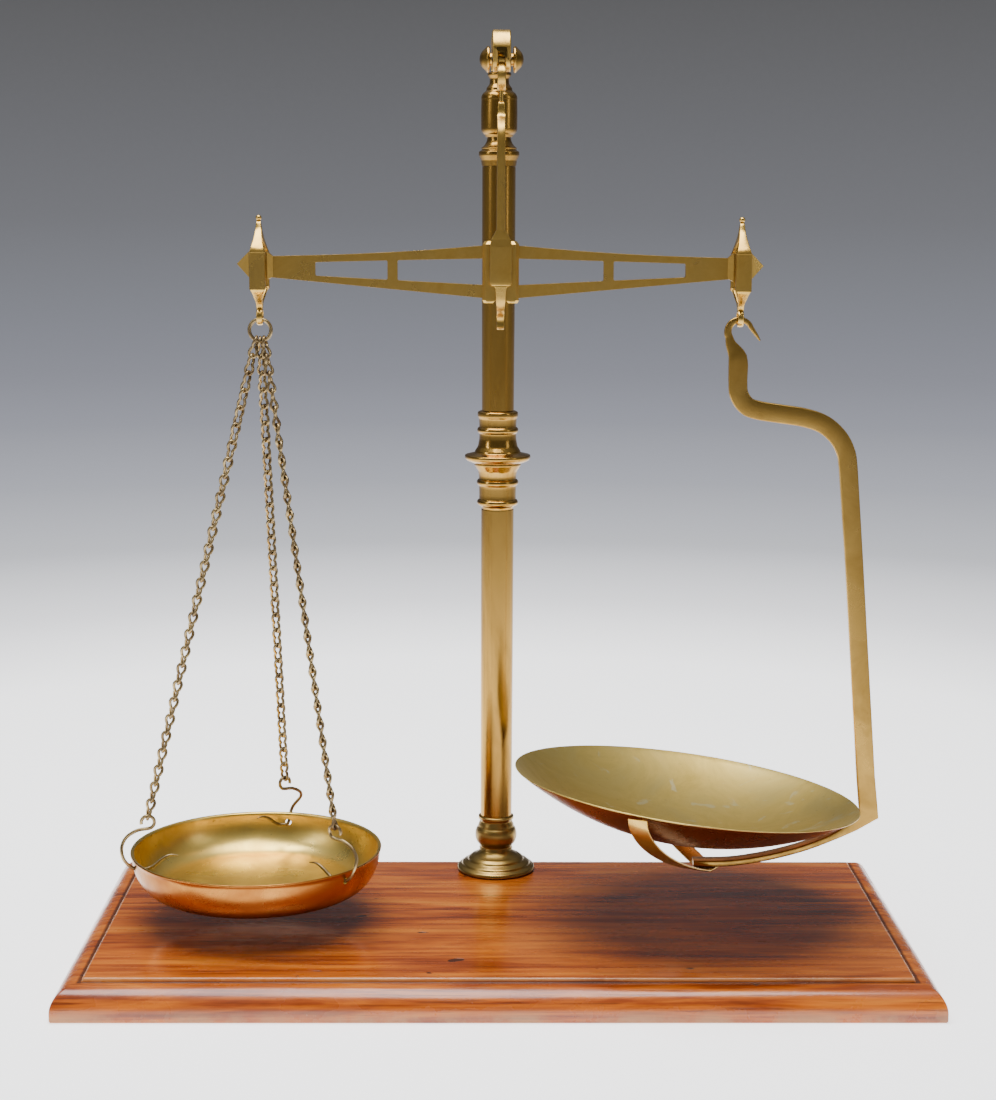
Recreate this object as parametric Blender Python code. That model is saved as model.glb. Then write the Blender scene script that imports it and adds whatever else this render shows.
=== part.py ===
"""Equal arm balance scale: a brass pillar on a mahogany board carries a swan neck
arm, and from the arm hang the shears, the beam, a weights pan on three chains and
a goods pan in a hooked carrier.

Frame: metres, +Z up, origin at the centre of the base's underside, +X along the
beam to the goods pan, +Y to the back, where the pillar stands.
"""
import math

import bmesh
import bpy
from mathutils import Matrix, Vector

MM = 0.001
GAP = 0.0003                       # clearance between neighbouring pieces

# Base board
BASE_WIDTH, BASE_DEPTH, BASE_HEIGHT = 0.610, 0.300, 0.025
MOULDING = 0.0195                  # width of the moulded border around the field

# Pillar
COLUMN_Y = 0.112                   # axis of the pillar, near the back of the board
TUBE_RADIUS = 0.0127
TUBE_WALL = 0.0015
ROD_RADIUS = 0.003                 # tie rod through the whole pillar
BORE_RADIUS = ROD_RADIUS + GAP
FOOT_TOP = 0.0700
LOWER_TUBE_TOP = 0.3160
COLLAR_JOINT = 0.3520
UPPER_TUBE_BOTTOM = 0.3930
CAPITAL_BOTTOM = 0.5785
VASE_BOTTOM = 0.6000
VASE_TOP = 0.6483

# Swan neck arm and its fork
REACH = 0.124                      # pillar axis to the plane of the beam
PLANE_Y = COLUMN_Y - REACH
ARM_WIDTH = 0.0128
PIN_Z = 0.6479                     # axis of the cross pin
PIN_RADIUS = 0.0020
SLOT_WIDTH = 0.0048

# Beam
KNIFE_Z = 0.5066                   # all three knife edges lie in one line
ARM_LENGTH = 0.170                 # centre knife to end knife
BLOCK_HALF = 0.0128
BEAM_THICKNESS = 0.005
KNIFE_HALF = 0.0124                # half length of each knife along Y

# Shears and shackles
PLATE_OUT, PLATE_IN = 0.016, 0.013     # outer and inner face of a side plate
EYE_Z = 0.4698
EYE_IN, EYE_OUT = 0.0040, 0.0062
RING_RADIUS, RING_WIRE = 0.00765, 0.00135

# Weights pan, its hooks and chains
PAN_X = -0.1777
PAN_RIM_Z = 0.0804
PAN_RADIUS = 0.0900
PAN_DEPTH = 0.0292
PAN_FLOOR = 0.0700
PAN_WALL = 0.00175
HOOKS = {"back": (80.0, -38.0), "left": (200.0, -10.0), "right": (320.0, 10.0)}   # azimuth, twist
HOOK_HOLE = 0.0892                 # distance of a hook's hole from the pan's axis
HOOK_WIRE = 0.00125
HOOK_LOOP = (0.0800, 0.1080)       # loop centre: distance from the pan's axis, height
HOOK_LOOP_RADIUS = 0.0047
LINK_WIRE = 0.0010                 # radius of the chain's wire
LINK_WIDTH = 0.0062
LINK_PITCH = 0.0127

# Goods pan and its carrier
GOODS_CENTRE = Vector((0.1386, PLANE_Y, 0.1283))
GOODS_RADIUS = 0.1272
GOODS_DEPTH = 0.0385
GOODS_WALL = 0.0007
GOODS_TILT = math.radians(7.0)     # the pan lies low towards the carrier's arm
GOODS_LEAN = math.radians(-3.0)    # and a little towards the back
CARRIER_HOOK = (ARM_LENGTH, 0.4603)
CARRIER_HOOK_RADIUS = 0.0085
CARRIER_THICKNESS = 0.0044
CLIP_AZIMUTH = 111.0
STRAP_WIDTH, STRAP_THICKNESS = 0.0140, 0.0016
STRAP_Z = 0.0670                   # middle of the strap where it is brazed under the rail
STRAP_FLAT, STRAP_SLOPE = 0.075, 0.55      # level share of a half, then how straight it rises

ROUND = 24                         # sides of a turned piece


# ---------------------------------------------------------------- materials
def material(name, colour, metallic, roughness):
    mat = bpy.data.materials.new(name)
    mat.use_nodes = True
    shader = mat.node_tree.nodes["Principled BSDF"]
    shader.inputs["Base Color"].default_value = (*colour, 1.0)
    shader.inputs["Metallic"].default_value = metallic
    shader.inputs["Roughness"].default_value = roughness
    mat.diffuse_color = (*colour, 1.0)
    return mat


def brass():
    return material("polished_brass", (0.60, 0.40, 0.14), 1.0, 0.24)


def dull_brass():
    return material("dull_brass", (0.46, 0.34, 0.17), 1.0, 0.42)


def steel():
    return material("steel", (0.45, 0.44, 0.42), 1.0, 0.35)


def mahogany():
    return material("mahogany", (0.30, 0.075, 0.025), 0.0, 0.28)


# ---------------------------------------------------------------- mesh helpers
def clear_scene():
    for obj in list(bpy.data.objects):
        bpy.data.objects.remove(obj, do_unlink=True)


def make(name, bm, mat, origin=(0.0, 0.0, 0.0), parent=None):
    """Turns a bmesh in world coordinates into an object with its origin at a point."""
    bmesh.ops.recalc_face_normals(bm, faces=bm.faces[:])
    bmesh.ops.translate(bm, verts=bm.verts[:], vec=-Vector(origin))
    mesh = bpy.data.meshes.new(name)
    bm.to_mesh(mesh)
    bm.free()
    mesh.materials.append(mat)
    mesh.shade_smooth()
    mesh.set_sharp_from_angle(angle=math.radians(35))
    obj = bpy.data.objects.new(name, mesh)
    bpy.context.collection.objects.link(obj)
    obj.location = origin
    if parent:
        obj.parent = parent
        obj.location = Vector(origin) - parent.matrix_world.translation
    return obj


def pivot(name, point, parent=None):
    """An empty that stands on a joint's axis and carries the body's pieces."""
    empty = bpy.data.objects.new(name, None)
    bpy.context.collection.objects.link(empty)
    empty.location = Vector(point)
    if parent:
        empty.parent = parent
        empty.location = Vector(point) - parent.matrix_world.translation
    bpy.context.view_layer.update()
    return empty


def loft(bm, rings, closed=False):
    """Skins rings of equal length; open lofts are capped, closed ones meet their start."""
    loops = [[bm.verts.new(point) for point in ring] for ring in rings]
    pairs = list(zip(loops, loops[1:]))
    if closed:
        pairs.append((loops[-1], loops[0]))
    for first, second in pairs:
        count = len(first)
        for i in range(count):
            j = (i + 1) % count
            bm.faces.new((first[i], first[j], second[j], second[i]))
    if not closed:
        bm.faces.new(list(reversed(loops[0])))
        bm.faces.new(loops[-1])
    return bm


def turn(bm, profile, place, sides=ROUND):
    """Turns a closed profile of (radius, height); points of radius 0 lie on the axis."""
    columns = []
    for radius, height in profile:
        if radius < 1e-7:
            vert = bm.verts.new(place @ Vector((0, 0, height)))
            columns.append([vert] * sides)
            continue
        angles = (2 * math.pi * i / sides for i in range(sides))
        columns.append([bm.verts.new(place @ Vector((radius * math.cos(a), radius * math.sin(a), height)))
                        for a in angles])
    for first, second in zip(columns, columns[1:] + columns[:1]):
        for i in range(sides):
            j = (i + 1) % sides
            corners = []
            for vert in (first[i], first[j], second[j], second[i]):
                if vert not in corners:
                    corners.append(vert)
            if len(corners) > 2:
                bm.faces.new(corners)
    return bm


def turned(profile, place=Matrix(), sides=ROUND):
    return turn(bmesh.new(), profile, place, sides)


def along_x(x, y, z):
    """Places a turned piece with its axis along +X, its height 0 at the point."""
    return Matrix.Translation((x, y, z)) @ Matrix.Rotation(math.pi / 2, 4, "Y")


def upright(x, y, z=0.0):
    return Matrix.Translation((x, y, z))


def box(low, high):
    bm = bmesh.new()
    (x0, y0, z0), (x1, y1, z1) = low, high
    rings = [[(x0, y0, z), (x1, y0, z), (x1, y1, z), (x0, y1, z)] for z in (z0, z1)]
    return loft(bm, rings)


def hull(points):
    bm = bmesh.new()
    for point in points:
        bm.verts.new(point)
    bmesh.ops.convex_hull(bm, input=bm.verts[:])
    return bm


def rod(start, end, radius, sides=16):
    """A plain cylinder between two points."""
    start, end = Vector(start), Vector(end)
    turn_to = (end - start).to_track_quat("Z", "Y").to_matrix().to_4x4()
    place = Matrix.Translation(start) @ turn_to
    return turned([(0, 0), (radius, 0), (radius, (end - start).length), (0, (end - start).length)],
                  place, sides)


def combine(bm, other, operation):
    """Joins or cuts two closed bodies with Blender's exact solver."""
    pieces = []
    for shape in (bm, other):
        bmesh.ops.recalc_face_normals(shape, faces=shape.faces[:])
        mesh = bpy.data.meshes.new("piece")
        shape.to_mesh(mesh)
        shape.free()
        obj = bpy.data.objects.new("piece", mesh)
        bpy.context.collection.objects.link(obj)
        pieces.append(obj)
    modifier = pieces[0].modifiers.new("Boolean", "BOOLEAN")
    modifier.operation = operation
    modifier.solver = "EXACT"
    modifier.object = pieces[1]
    bpy.context.view_layer.update()
    result = bmesh.new()
    result.from_object(pieces[0], bpy.context.evaluated_depsgraph_get())
    for obj in pieces:
        mesh = obj.data
        bpy.data.objects.remove(obj, do_unlink=True)
        bpy.data.meshes.remove(mesh)
    bmesh.ops.remove_doubles(result, verts=result.verts[:], dist=2e-6)
    bmesh.ops.dissolve_degenerate(result, edges=result.edges[:], dist=2e-6)
    return result


def union(bm, *others):
    for other in others:
        bm = combine(bm, other, "UNION")
    return bm


def cut(bm, *cutters):
    for cutter in cutters:
        bm = combine(bm, cutter, "DIFFERENCE")
    return bm


def arc(centre, radius, start, end, steps):
    """Points on an arc or ellipse, in degrees from the first axis."""
    across, up = radius if isinstance(radius, tuple) else (radius, radius)
    points = []
    for i in range(steps + 1):
        a = math.radians(start + (end - start) * i / steps)
        points.append((centre[0] + across * math.cos(a), centre[1] + up * math.sin(a)))
    return points


def smooth(points, steps):
    """A Catmull-Rom curve through the points, with a number of steps per span."""
    points = [Vector(p) for p in points]
    padded = [2 * points[0] - points[1], *points, 2 * points[-1] - points[-2]]
    curve = []
    for a, b, c, d in zip(padded, padded[1:], padded[2:], padded[3:]):
        for i in range(steps):
            t = i / steps
            curve.append(0.5 * (2 * b + (c - a) * t + (2 * a - 5 * b + 4 * c - d) * t * t
                                + (3 * b - a - 3 * c + d) * t ** 3))
    curve.append(points[-1])
    return curve


def ribbon(stations, place, sides=4):
    """Sweeps a flat piece along a path in the local XZ plane.

    A station is (x, z, width in the plane, thickness across it). Four sides give a
    flat strap, more give an oval wire. Corners are mitred.
    """
    rings = []
    for i, (x, z, width, thickness) in enumerate(stations):
        here = Vector((x, z))
        before = (here - Vector(stations[i - 1][:2])).normalized() if i else None
        after = (Vector(stations[i + 1][:2]) - here).normalized() if i + 1 < len(stations) else None
        before, after = before or after, after or before
        along = (before + after).normalized()
        mitre = 1.0 / max(0.6, along.dot(after))
        side = Vector((-along.y, along.x)) * mitre
        ring = []
        for k in range(sides):
            if sides == 4:
                across, out = ((-1, -1), (1, -1), (1, 1), (-1, 1))[k]
            else:
                angle = 2 * math.pi * k / sides
                across, out = math.cos(angle), math.sin(angle)
            flat = here + side * across * width / 2
            ring.append(place @ Vector((flat.x, out * thickness / 2, flat.y)))
        rings.append(ring)
    return loft(bmesh.new(), rings)


def tube_along(points, radius, sides=6):
    """A round wire along a path in space, open at both ends and capped."""
    points = [Vector(p) for p in points]
    tangents = [(b - a).normalized() for a, b in zip(points, points[1:])]
    tangents = [tangents[0], *[(a + b).normalized() for a, b in zip(tangents, tangents[1:])], tangents[-1]]
    normal = tangents[0].orthogonal().normalized()
    rings = []
    for point, tangent in zip(points, tangents):
        normal = (normal - tangent * normal.dot(tangent)).normalized()
        binormal = tangent.cross(normal)
        rings.append([point + radius * (math.cos(a) * normal + math.sin(a) * binormal)
                      for a in (2 * math.pi * k / sides for k in range(sides))])
    return loft(bmesh.new(), rings)


def add_ring(bm, points, normals, radius, sides=4):
    """A closed wire through points; each normal is square to the wire there."""
    rings = []
    count = len(points)
    for i, (point, normal) in enumerate(zip(points, normals)):
        tangent = (points[(i + 1) % count] - points[i - 1]).normalized()
        normal = (normal - tangent * normal.dot(tangent)).normalized()
        binormal = tangent.cross(normal)
        rings.append([point + radius * (math.cos(a) * normal + math.sin(a) * binormal)
                      for a in (2 * math.pi * (k + 0.5) / sides for k in range(sides))])
    return loft(bm, rings, closed=True)


def hoop(stations, x, y):
    """A closed frame in the YZ plane, the same front and back.

    A station is (outer offset, outer height, inner offset, inner height, width in X)
    in millimetres; the first and last lie on the middle plane.
    """
    def section(station, side):
        out, out_z, inner, inner_z, width = (value * MM for value in station)
        half = width / 2
        return [(x - half, y + side * out, out_z), (x + half, y + side * out, out_z),
                (x + half, y + side * inner, inner_z), (x - half, y + side * inner, inner_z)]

    rings = [section(station, -1) for station in stations]
    rings += [section(station, 1) for station in reversed(stations[1:-1])]
    return loft(bmesh.new(), rings, closed=True)


# ---------------------------------------------------------------- base and pillar
def base_board(parent):
    """A board with a raised field, a small fillet and a thumb moulding on all sides."""
    thumb = arc((0.0155, 0.0060), (0.0155, 0.0165), 180, 95, 6)
    profile = [(0.0012, 0.0), (0.0, 0.0012), *thumb, (MOULDING - 0.0012, 0.0232), (MOULDING, BASE_HEIGHT)]
    rings = []
    for inset, z in profile:
        half_x, half_y = BASE_WIDTH / 2 - inset, BASE_DEPTH / 2 - inset
        rings.append([(-half_x, -half_y, z), (half_x, -half_y, z), (half_x, half_y, z), (-half_x, half_y, z)])
    board = loft(bmesh.new(), rings)
    counterbore = rod((0, COLUMN_Y, -0.010), (0, COLUMN_Y, 0.0111), 0.0120, ROUND)
    through = rod((0, COLUMN_Y, 0.005), (0, COLUMN_Y, 0.040), BORE_RADIUS)
    make("base_board", cut(board, counterbore, through), mahogany(), parent=parent)


def pillar_piece(name, outline, bore, parent, sides=ROUND):
    """A turned piece of the pillar: its outline runs from bottom to top, in millimetres."""
    outer = [(radius * MM, height * MM) for radius, height in outline]
    profile = outer + [(bore, outer[-1][1]), (bore, outer[0][1])]
    make(name, turned(profile, upright(0, COLUMN_Y), sides), brass(), parent=parent)


def pillar(parent):
    tube_bore = TUBE_RADIUS - TUBE_WALL
    tube = TUBE_RADIUS / MM
    gap = GAP / MM
    base_top = BASE_HEIGHT / MM + gap
    pillar_piece("column_foot", [
        (29.5, base_top), (31.0, base_top + 1.2), (30.2, 28.6), (27.2, 30.0), (26.4, 31.6), (22.4, 33.4),
        (21.6, 35.0), *arc((24.5, 44.2), (12.4, 8.2), 245, 190, 3), (13.4, 42.8), (12.5, 44.6),
        *arc((12.4, 54.0), (4.1, 7.6), -70, 60, 5), (13.9, 62.6), (12.6, 65.8), (14.0, 67.4), (14.0, 69.4),
        (13.0, FOOT_TOP / MM)], BORE_RADIUS, parent)
    pillar_piece("lower_tube", [
        (tube, FOOT_TOP / MM + gap), (tube, LOWER_TUBE_TOP / MM - gap)], tube_bore, parent)
    pillar_piece("lower_collar", [
        (12.3, LOWER_TUBE_TOP / MM), (12.3, 318.0), *arc((13.4, 321.4), (2.6, 2.6), -70, 70, 4),
        (14.3, 327.5), (14.4, 332.0), *arc((13.6, 337.0), (2.6, 2.8), -70, 70, 4), (14.5, 342.0),
        (15.3, 346.0), (18.2, 350.6), (18.2, COLLAR_JOINT / MM - gap)], BORE_RADIUS, parent)
    pillar_piece("flange_collar", [
        (19.0, COLLAR_JOINT / MM), (24.4, 354.4), (25.5, 356.0), (25.5, 358.4), (18.0, 360.2), (17.6, 361.6),
        (15.4, 365.0), (14.4, 370.4), (14.3, 373.6), *arc((13.6, 377.6), (2.4, 2.6), -70, 70, 4),
        (14.4, 382.4), (14.7, 386.6), (15.7, 388.4), (15.7, 391.6), (13.4, UPPER_TUBE_BOTTOM / MM - gap)],
        BORE_RADIUS, parent)
    pillar_piece("upper_tube", [
        (tube, UPPER_TUBE_BOTTOM / MM), (tube, CAPITAL_BOTTOM / MM - gap)], tube_bore, parent)
    pillar_piece("capital", [
        (13.3, CAPITAL_BOTTOM / MM), (13.6, 582.5), (15.4, 586.4), (15.4, 589.2), (13.0, 590.6),
        *arc((17.2, 600.4), (8.3, 9.2), 245, 195, 3), (9.1, VASE_BOTTOM / MM - gap)], BORE_RADIUS, parent)
    pillar_piece("vase_finial", [
        (10.4, VASE_BOTTOM / MM), *arc((8.6, 606.4), (5.1, 5.2), -60, 0, 3), (13.8, 618.0), (13.6, 627.5),
        *arc((8.7, 628.6), (5.0, 5.6), 0, 62, 3), (9.8, 634.6), (9.8, 636.2), (7.4, 639.4), (7.2, 643.2),
        (9.0, 645.8), (9.0, 647.4), (8.0, VASE_TOP / MM - gap)], BORE_RADIUS, parent)


def tie_rod(parent):
    """A steel rod under nut and washer pulls the whole pillar together."""
    make("tie_rod", rod((0, COLUMN_Y, 0.0022), (0, COLUMN_Y, 0.6555), ROD_RADIUS), steel(), parent=parent)
    washer = turned([(BORE_RADIUS, 0.0093), (0.0105, 0.0093), (0.0105, 0.0108), (BORE_RADIUS, 0.0108)],
                    upright(0, COLUMN_Y))
    make("tie_rod_washer", washer, steel(), parent=parent)
    nut = rod((0, COLUMN_Y, 0.0038), (0, COLUMN_Y, 0.0090), 0.0064, 6)
    nut = cut(nut, rod((0, COLUMN_Y, 0.0), (0, COLUMN_Y, 0.0120), BORE_RADIUS + GAP))
    make("tie_rod_nut", nut, steel(), parent=parent)


def arm_outline():
    """The swan neck arm from the side, as (y, z) around its edge."""
    nose = arc((PLANE_Y + 0.0040, 0.6525), (0.0140, 0.0160), 90, 170, 5)
    cheek = arc((PLANE_Y, PIN_Z), 0.0085, 190, 350, 7)
    under = arc((0.060, 0.6460), (0.0620, 0.0100), 165, 90, 5)
    back_under = arc((COLUMN_Y - 0.0330, 0.6500), (0.0250, 0.0085), 80, 12, 3)
    back_over = arc((COLUMN_Y - 0.0140, 0.6520), (0.0220, 0.0200), 0, 90, 5)
    foot = [(COLUMN_Y - 0.0078, VASE_TOP), (COLUMN_Y + 0.0078, VASE_TOP)]
    return [*nose, *cheek, *under, *back_under, *foot, *back_over]


def swan_neck_arm(parent):
    outline = arm_outline()
    half = ARM_WIDTH / 2
    edge = 0.0012
    rings = []
    for x in (-half, half):
        rings.append([(x, y, z) for y, z in outline])
    body = loft(bmesh.new(), rings)
    bmesh.ops.recalc_face_normals(body, faces=body.faces[:])
    sides = [e for e in body.edges if abs(e.verts[0].co.x - e.verts[1].co.x) < 1e-6]
    bmesh.ops.bevel(body, geom=sides, offset=edge, segments=1, affect="EDGES")
    slot = box((-SLOT_WIDTH / 2, PLANE_Y - 0.030, 0.630), (SLOT_WIDTH / 2, PLANE_Y + 0.0130, 0.6545))
    pin_hole = rod((-0.02, PLANE_Y, PIN_Z), (0.02, PLANE_Y, PIN_Z), PIN_RADIUS + GAP)
    rod_hole = rod((0, COLUMN_Y, 0.640), (0, COLUMN_Y, 0.6560), BORE_RADIUS)
    body = cut(body, slot, pin_hole, rod_hole)
    make("swan_neck_arm", body, brass(), origin=(0, COLUMN_Y, VASE_TOP), parent=parent)


def cross_pin(parent):
    """The pin through the fork, with a turned knob on each end."""
    origin = (0, PLANE_Y, PIN_Z)
    make("cross_pin", rod((-0.0118, PLANE_Y, PIN_Z), (0.0118, PLANE_Y, PIN_Z), PIN_RADIUS), steel(),
         origin=origin, parent=parent)
    bore = PIN_RADIUS + GAP
    inner = ARM_WIDTH / 2 + GAP
    dome = arc((0.0, 0.0104), (0.0090, 0.0050), 0, 90, 4)
    profile = [(bore, inner), (0.0046, inner), (0.0046, 0.0082), (0.0088, 0.0084), (0.0092, 0.0094),
               *dome, (0.0, 0.0122), (bore, 0.0122)]
    for name, facing in (("left_knob", math.pi), ("right_knob", 0.0)):
        place = Matrix.Rotation(facing, 4, "Z")
        place = Matrix.Translation((0, PLANE_Y, PIN_Z)) @ place @ Matrix.Rotation(math.pi / 2, 4, "Y")
        make(name, turned(profile, place, 20), brass(), origin=origin, parent=parent)


# ---------------------------------------------------------------- hanger and shears
def hanger_link(parent):
    """An eye on the cross pin and a C below it, whose lower limb carries the shears."""
    eye = turned([(PIN_RADIUS + GAP, -0.0020), (0.0050, -0.0020), (0.0050, 0.0020), (PIN_RADIUS + GAP, 0.0020)],
                 along_x(0, PLANE_Y, PIN_Z), 20)
    path = arc((PLANE_Y, 0.6366), (0.0105, 0.0086), 104, 315, 14)
    stations = []
    for y, z in path:
        width = 0.0040 if z > 0.6405 and y < PLANE_Y else 0.0058
        stations.append((y, z, 0.0030, width))
    side_on = Matrix(((0, -1, 0, 0), (1, 0, 0, 0), (0, 0, 1, 0), (0, 0, 0, 1)))
    bow = ribbon(stations, side_on)
    link = union(eye, bow)
    link = cut(link, rod((0, PLANE_Y, 0.620), (0, PLANE_Y, 0.6335), 0.0018))
    make("hanger_link", link, brass(), origin=(0, PLANE_Y, PIN_Z), parent=parent)


def shears(parent):
    """The frame that holds the beam: two long straps, plates at the knife, a tail below."""
    frame = hoop([
        (0.0, 461.0, 0.0, 474.4, 5.0), (2.8, 463.0, 1.8, 474.8, 5.0), (2.4, 467.6, 4.0, 475.4, 5.0),
        (5.2, 471.6, 7.2, 476.6, 5.2), (10.8, 475.4, 10.0, 479.6, 5.4), (14.4, 481.0, 11.8, 484.4, 6.6),
        (15.6, 487.6, 12.8, 489.4, 7.4), (16.0, 491.6, 13.0, 492.4, 8.4),
        (16.0, 492.6, 13.0, 494.4, 13.4), (16.0, 496.2, 13.0, 497.0, 15.5), (16.0, 519.6, 13.0, 519.6, 15.5),
        (16.0, 524.6, 13.0, 524.6, 13.4), (15.4, 530.4, 12.8, 530.4, 6.9), (15.2, 590.0, 12.6, 588.0, 5.4),
        (13.2, 600.4, 10.2, 596.0, 5.3), (8.2, 606.4, 5.2, 601.4, 5.4), (4.4, 609.6, 2.2, 603.4, 5.8),
        (3.0, 613.6, 1.2, 604.0, 5.0), (2.2, 618.6, 0.5, 604.2, 4.2), (0.0, 620.0, 0.0, 604.3, 4.0)],
        0.0, PLANE_Y)
    shank = rod((0, PLANE_Y, 0.6150), (0, PLANE_Y, 0.6330), 0.0015, 12)
    make("shears", union(frame, shank), brass(), origin=(0, PLANE_Y, 0.6280), parent=parent)
    nut = turned([(0.0018, 0.6300), (0.0032, 0.6300), (0.0032, 0.6316), (0.0026, 0.6326), (0.0018, 0.6326)],
                 upright(0, PLANE_Y), 16)
    make("swivel_nut", nut, brass(), origin=(0, PLANE_Y, 0.6280), parent=parent)


def bearings(name, x, low, high, half, inner, parent):
    """Two steel blocks, one inside each side plate."""
    for side, end in ((-1, "front"), (1, "back")):
        near, far = sorted((PLANE_Y + side * inner, PLANE_Y + side * (PLATE_IN - GAP)))
        block = box((x - half, near, low), (x + half, far, high))
        make(f"{name}_bearing_{end}", block, steel(), origin=(x, PLANE_Y, KNIFE_Z), parent=parent)


# ---------------------------------------------------------------- beam
def prism(outline, y_low, y_high):
    """A flat piece from an outline in the XZ plane."""
    rings = [[(x, y, z) for x, z in outline] for y in (y_low, y_high)]
    return loft(bmesh.new(), rings)


def knife_outline(x, edge_down, grow=0.0):
    """A triangular knife; its edge lies at the height of all the knives."""
    height, half = 0.0075, 0.0036
    sign = 1 if edge_down else -1
    base = KNIFE_Z + sign * (height + grow)
    tip = KNIFE_Z - sign * grow * 1.8
    return [(x, tip), (x + half + grow * 1.5, base), (x - half - grow * 1.5, base)]


def mirrored(points, side):
    return [(side * x, z) for x, z in points]


def beam(parent):
    """Two pierced arms on a centre block, with boxed ends and pointed tips."""
    half = BEAM_THICKNESS / 2
    low, high = PLANE_Y - half, PLANE_Y + half
    upper = [(0.0100, 0.5203), (0.0600, 0.5163), (0.1130, 0.5135), (0.1640, 0.5120)]
    lower = [(0.1640, 0.4975), (0.0100, 0.4832)]
    outline = mirrored(lower, -1)[::-1] + mirrored(upper, -1)[::-1] + upper + lower
    body = prism(outline, low, high)
    for side in (-1, 1):
        window = [(0.0090, 0.5111), (0.0726, 0.5096), (0.0726, 0.4956), (0.0090, 0.4924)]
        slot = [(0.0797, 0.5094), (0.1305, 0.5080), (0.1305, 0.4985), (0.0797, 0.4960)]
        for opening in (window, slot):
            body = cut(body, prism(mirrored(opening, side), low - 0.01, high + 0.01))
    body = union(body, centre_block())
    for side in (-1, 1):
        body = union(body, end_box(side))
    for x, down in ((0.0, True), (-ARM_LENGTH, False), (ARM_LENGTH, False)):
        body = cut(body, prism(knife_outline(x, down, GAP), PLANE_Y - 0.02, PLANE_Y + 0.02))
    make("beam", body, brass(), origin=(0, PLANE_Y, KNIFE_Z), parent=parent)
    for name, x, down in (("centre_knife", 0.0, True), ("left_knife", -ARM_LENGTH, False),
                          ("right_knife", ARM_LENGTH, False)):
        knife = prism(knife_outline(x, down), PLANE_Y - KNIFE_HALF, PLANE_Y + KNIFE_HALF)
        make(name, knife, steel(), origin=(x, PLANE_Y, KNIFE_Z), parent=parent)


def centre_block():
    """A chamfered block, arched underneath."""
    half, deep, chamfer = BLOCK_HALF, 0.0080, 0.0022
    points = []
    for z, shrink in ((0.4800, 0.0010), (0.4820, 0.0), (0.5210, 0.0), (0.5232, 0.0016)):
        for sx in (-1, 1):
            for sy in (-1, 1):
                points.append((sx * (half - shrink), PLANE_Y + sy * (deep - chamfer - shrink), z))
                points.append((sx * (half - chamfer - shrink), PLANE_Y + sy * (deep - shrink), z))
    block = hull(points)
    arch = turned([(0, -0.02), (0.0060, -0.02), (0.0060, 0.02), (0, 0.02)],
                  Matrix.Translation((0, PLANE_Y, 0.4772)) @ Matrix.Rotation(math.pi / 2, 4, "X"), 16)
    return cut(block, arch)


def end_box(side):
    """A box around the end knife that runs out to a point."""
    near, wide, far, tip = 0.1600, 0.1640, 0.1770, 0.1858
    points = [(side * tip, PLANE_Y, KNIFE_Z)]
    for deep in (-0.0050, 0.0050):
        for x, low, high in ((wide, 0.4958, 0.5152), (far, 0.4975, 0.5150)):
            points.append((side * x, PLANE_Y + deep, low))
            points.append((side * x, PLANE_Y + deep, high))
    for deep in (-0.0024, 0.0024):
        points.append((side * near, PLANE_Y + deep, 0.4978))
        points.append((side * near, PLANE_Y + deep, 0.5118))
    return hull(points)


def pointer(parent):
    """The tongue that stands on the beam between the straps of the shears."""
    rings = []
    for z, width, deep in ((0.5235, 0.0046, 0.0040), (0.5300, 0.0034, 0.0030), (0.5850, 0.0016, 0.0016),
                           (0.5990, 0.0008, 0.0008)):
        rings.append([(sx * width / 2, PLANE_Y + sy * deep / 2, z)
                      for sx, sy in ((-1, -1), (1, -1), (1, 1), (-1, 1))])
    make("beam_pointer", loft(bmesh.new(), rings), brass(), origin=(0, PLANE_Y, KNIFE_Z), parent=parent)


# ---------------------------------------------------------------- shackles
def shackle(name, x, parent):
    """A frame on an end knife: finial above, plates at the knife, an eye below."""
    frame = hoop([
        (0.0, 472.6, 0.0, 480.4, 4.2), (2.4, 475.0, 1.6, 481.0, 4.2), (5.0, 479.2, 5.6, 483.6, 4.6),
        (10.0, 483.0, 10.8, 487.4, 6.4), (14.6, 486.4, 13.0, 490.0, 8.0), (16.0, 489.4, 13.0, 491.4, 11.3),
        (16.0, 514.6, 13.0, 514.2, 11.3), (15.0, 518.4, 12.2, 516.6, 9.0), (9.4, 524.5, 7.4, 520.4, 6.2),
        (4.0, 530.4, 2.2, 524.0, 4.4), (1.8, 535.4, 0.8, 526.0, 3.4), (0.0, 537.2, 0.0, 526.6, 3.2)],
        x, PLANE_Y)
    ball = turned([(0, 0.5366), *[(0.0020 * math.sin(a), 0.5387 - 0.0020 * math.cos(a))
                                  for a in (math.radians(d) for d in (30, 60, 90, 120, 150))], (0, 0.5407)],
                  upright(x, PLANE_Y), 12)
    eye = turned([(EYE_IN, -0.0021), (EYE_OUT, -0.0021), (EYE_OUT, 0.0021), (EYE_IN, 0.0021)],
                 along_x(x, PLANE_Y, EYE_Z), 20)
    make(name, union(frame, ball, eye), brass(), origin=(x, PLANE_Y, KNIFE_Z), parent=parent)


# ---------------------------------------------------------------- weights pan
def suspension_ring(parent):
    """The ring in the left shackle's eye that gathers the three chains."""
    bottom = EYE_Z - EYE_IN
    centre = Vector((-ARM_LENGTH, PLANE_Y, bottom + 2.2 * GAP + RING_WIRE - RING_RADIUS))
    points, normals = [], []
    for i in range(20):
        a = 2 * math.pi * i / 20
        out = Vector((math.cos(a), 0, math.sin(a)))
        points.append(centre + RING_RADIUS * out)
        normals.append(out)
    bm = add_ring(bmesh.new(), points, normals, RING_WIRE, 6)
    make("suspension_ring", bm, dull_brass(), origin=ring_pivot(), parent=parent)
    return centre


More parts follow.
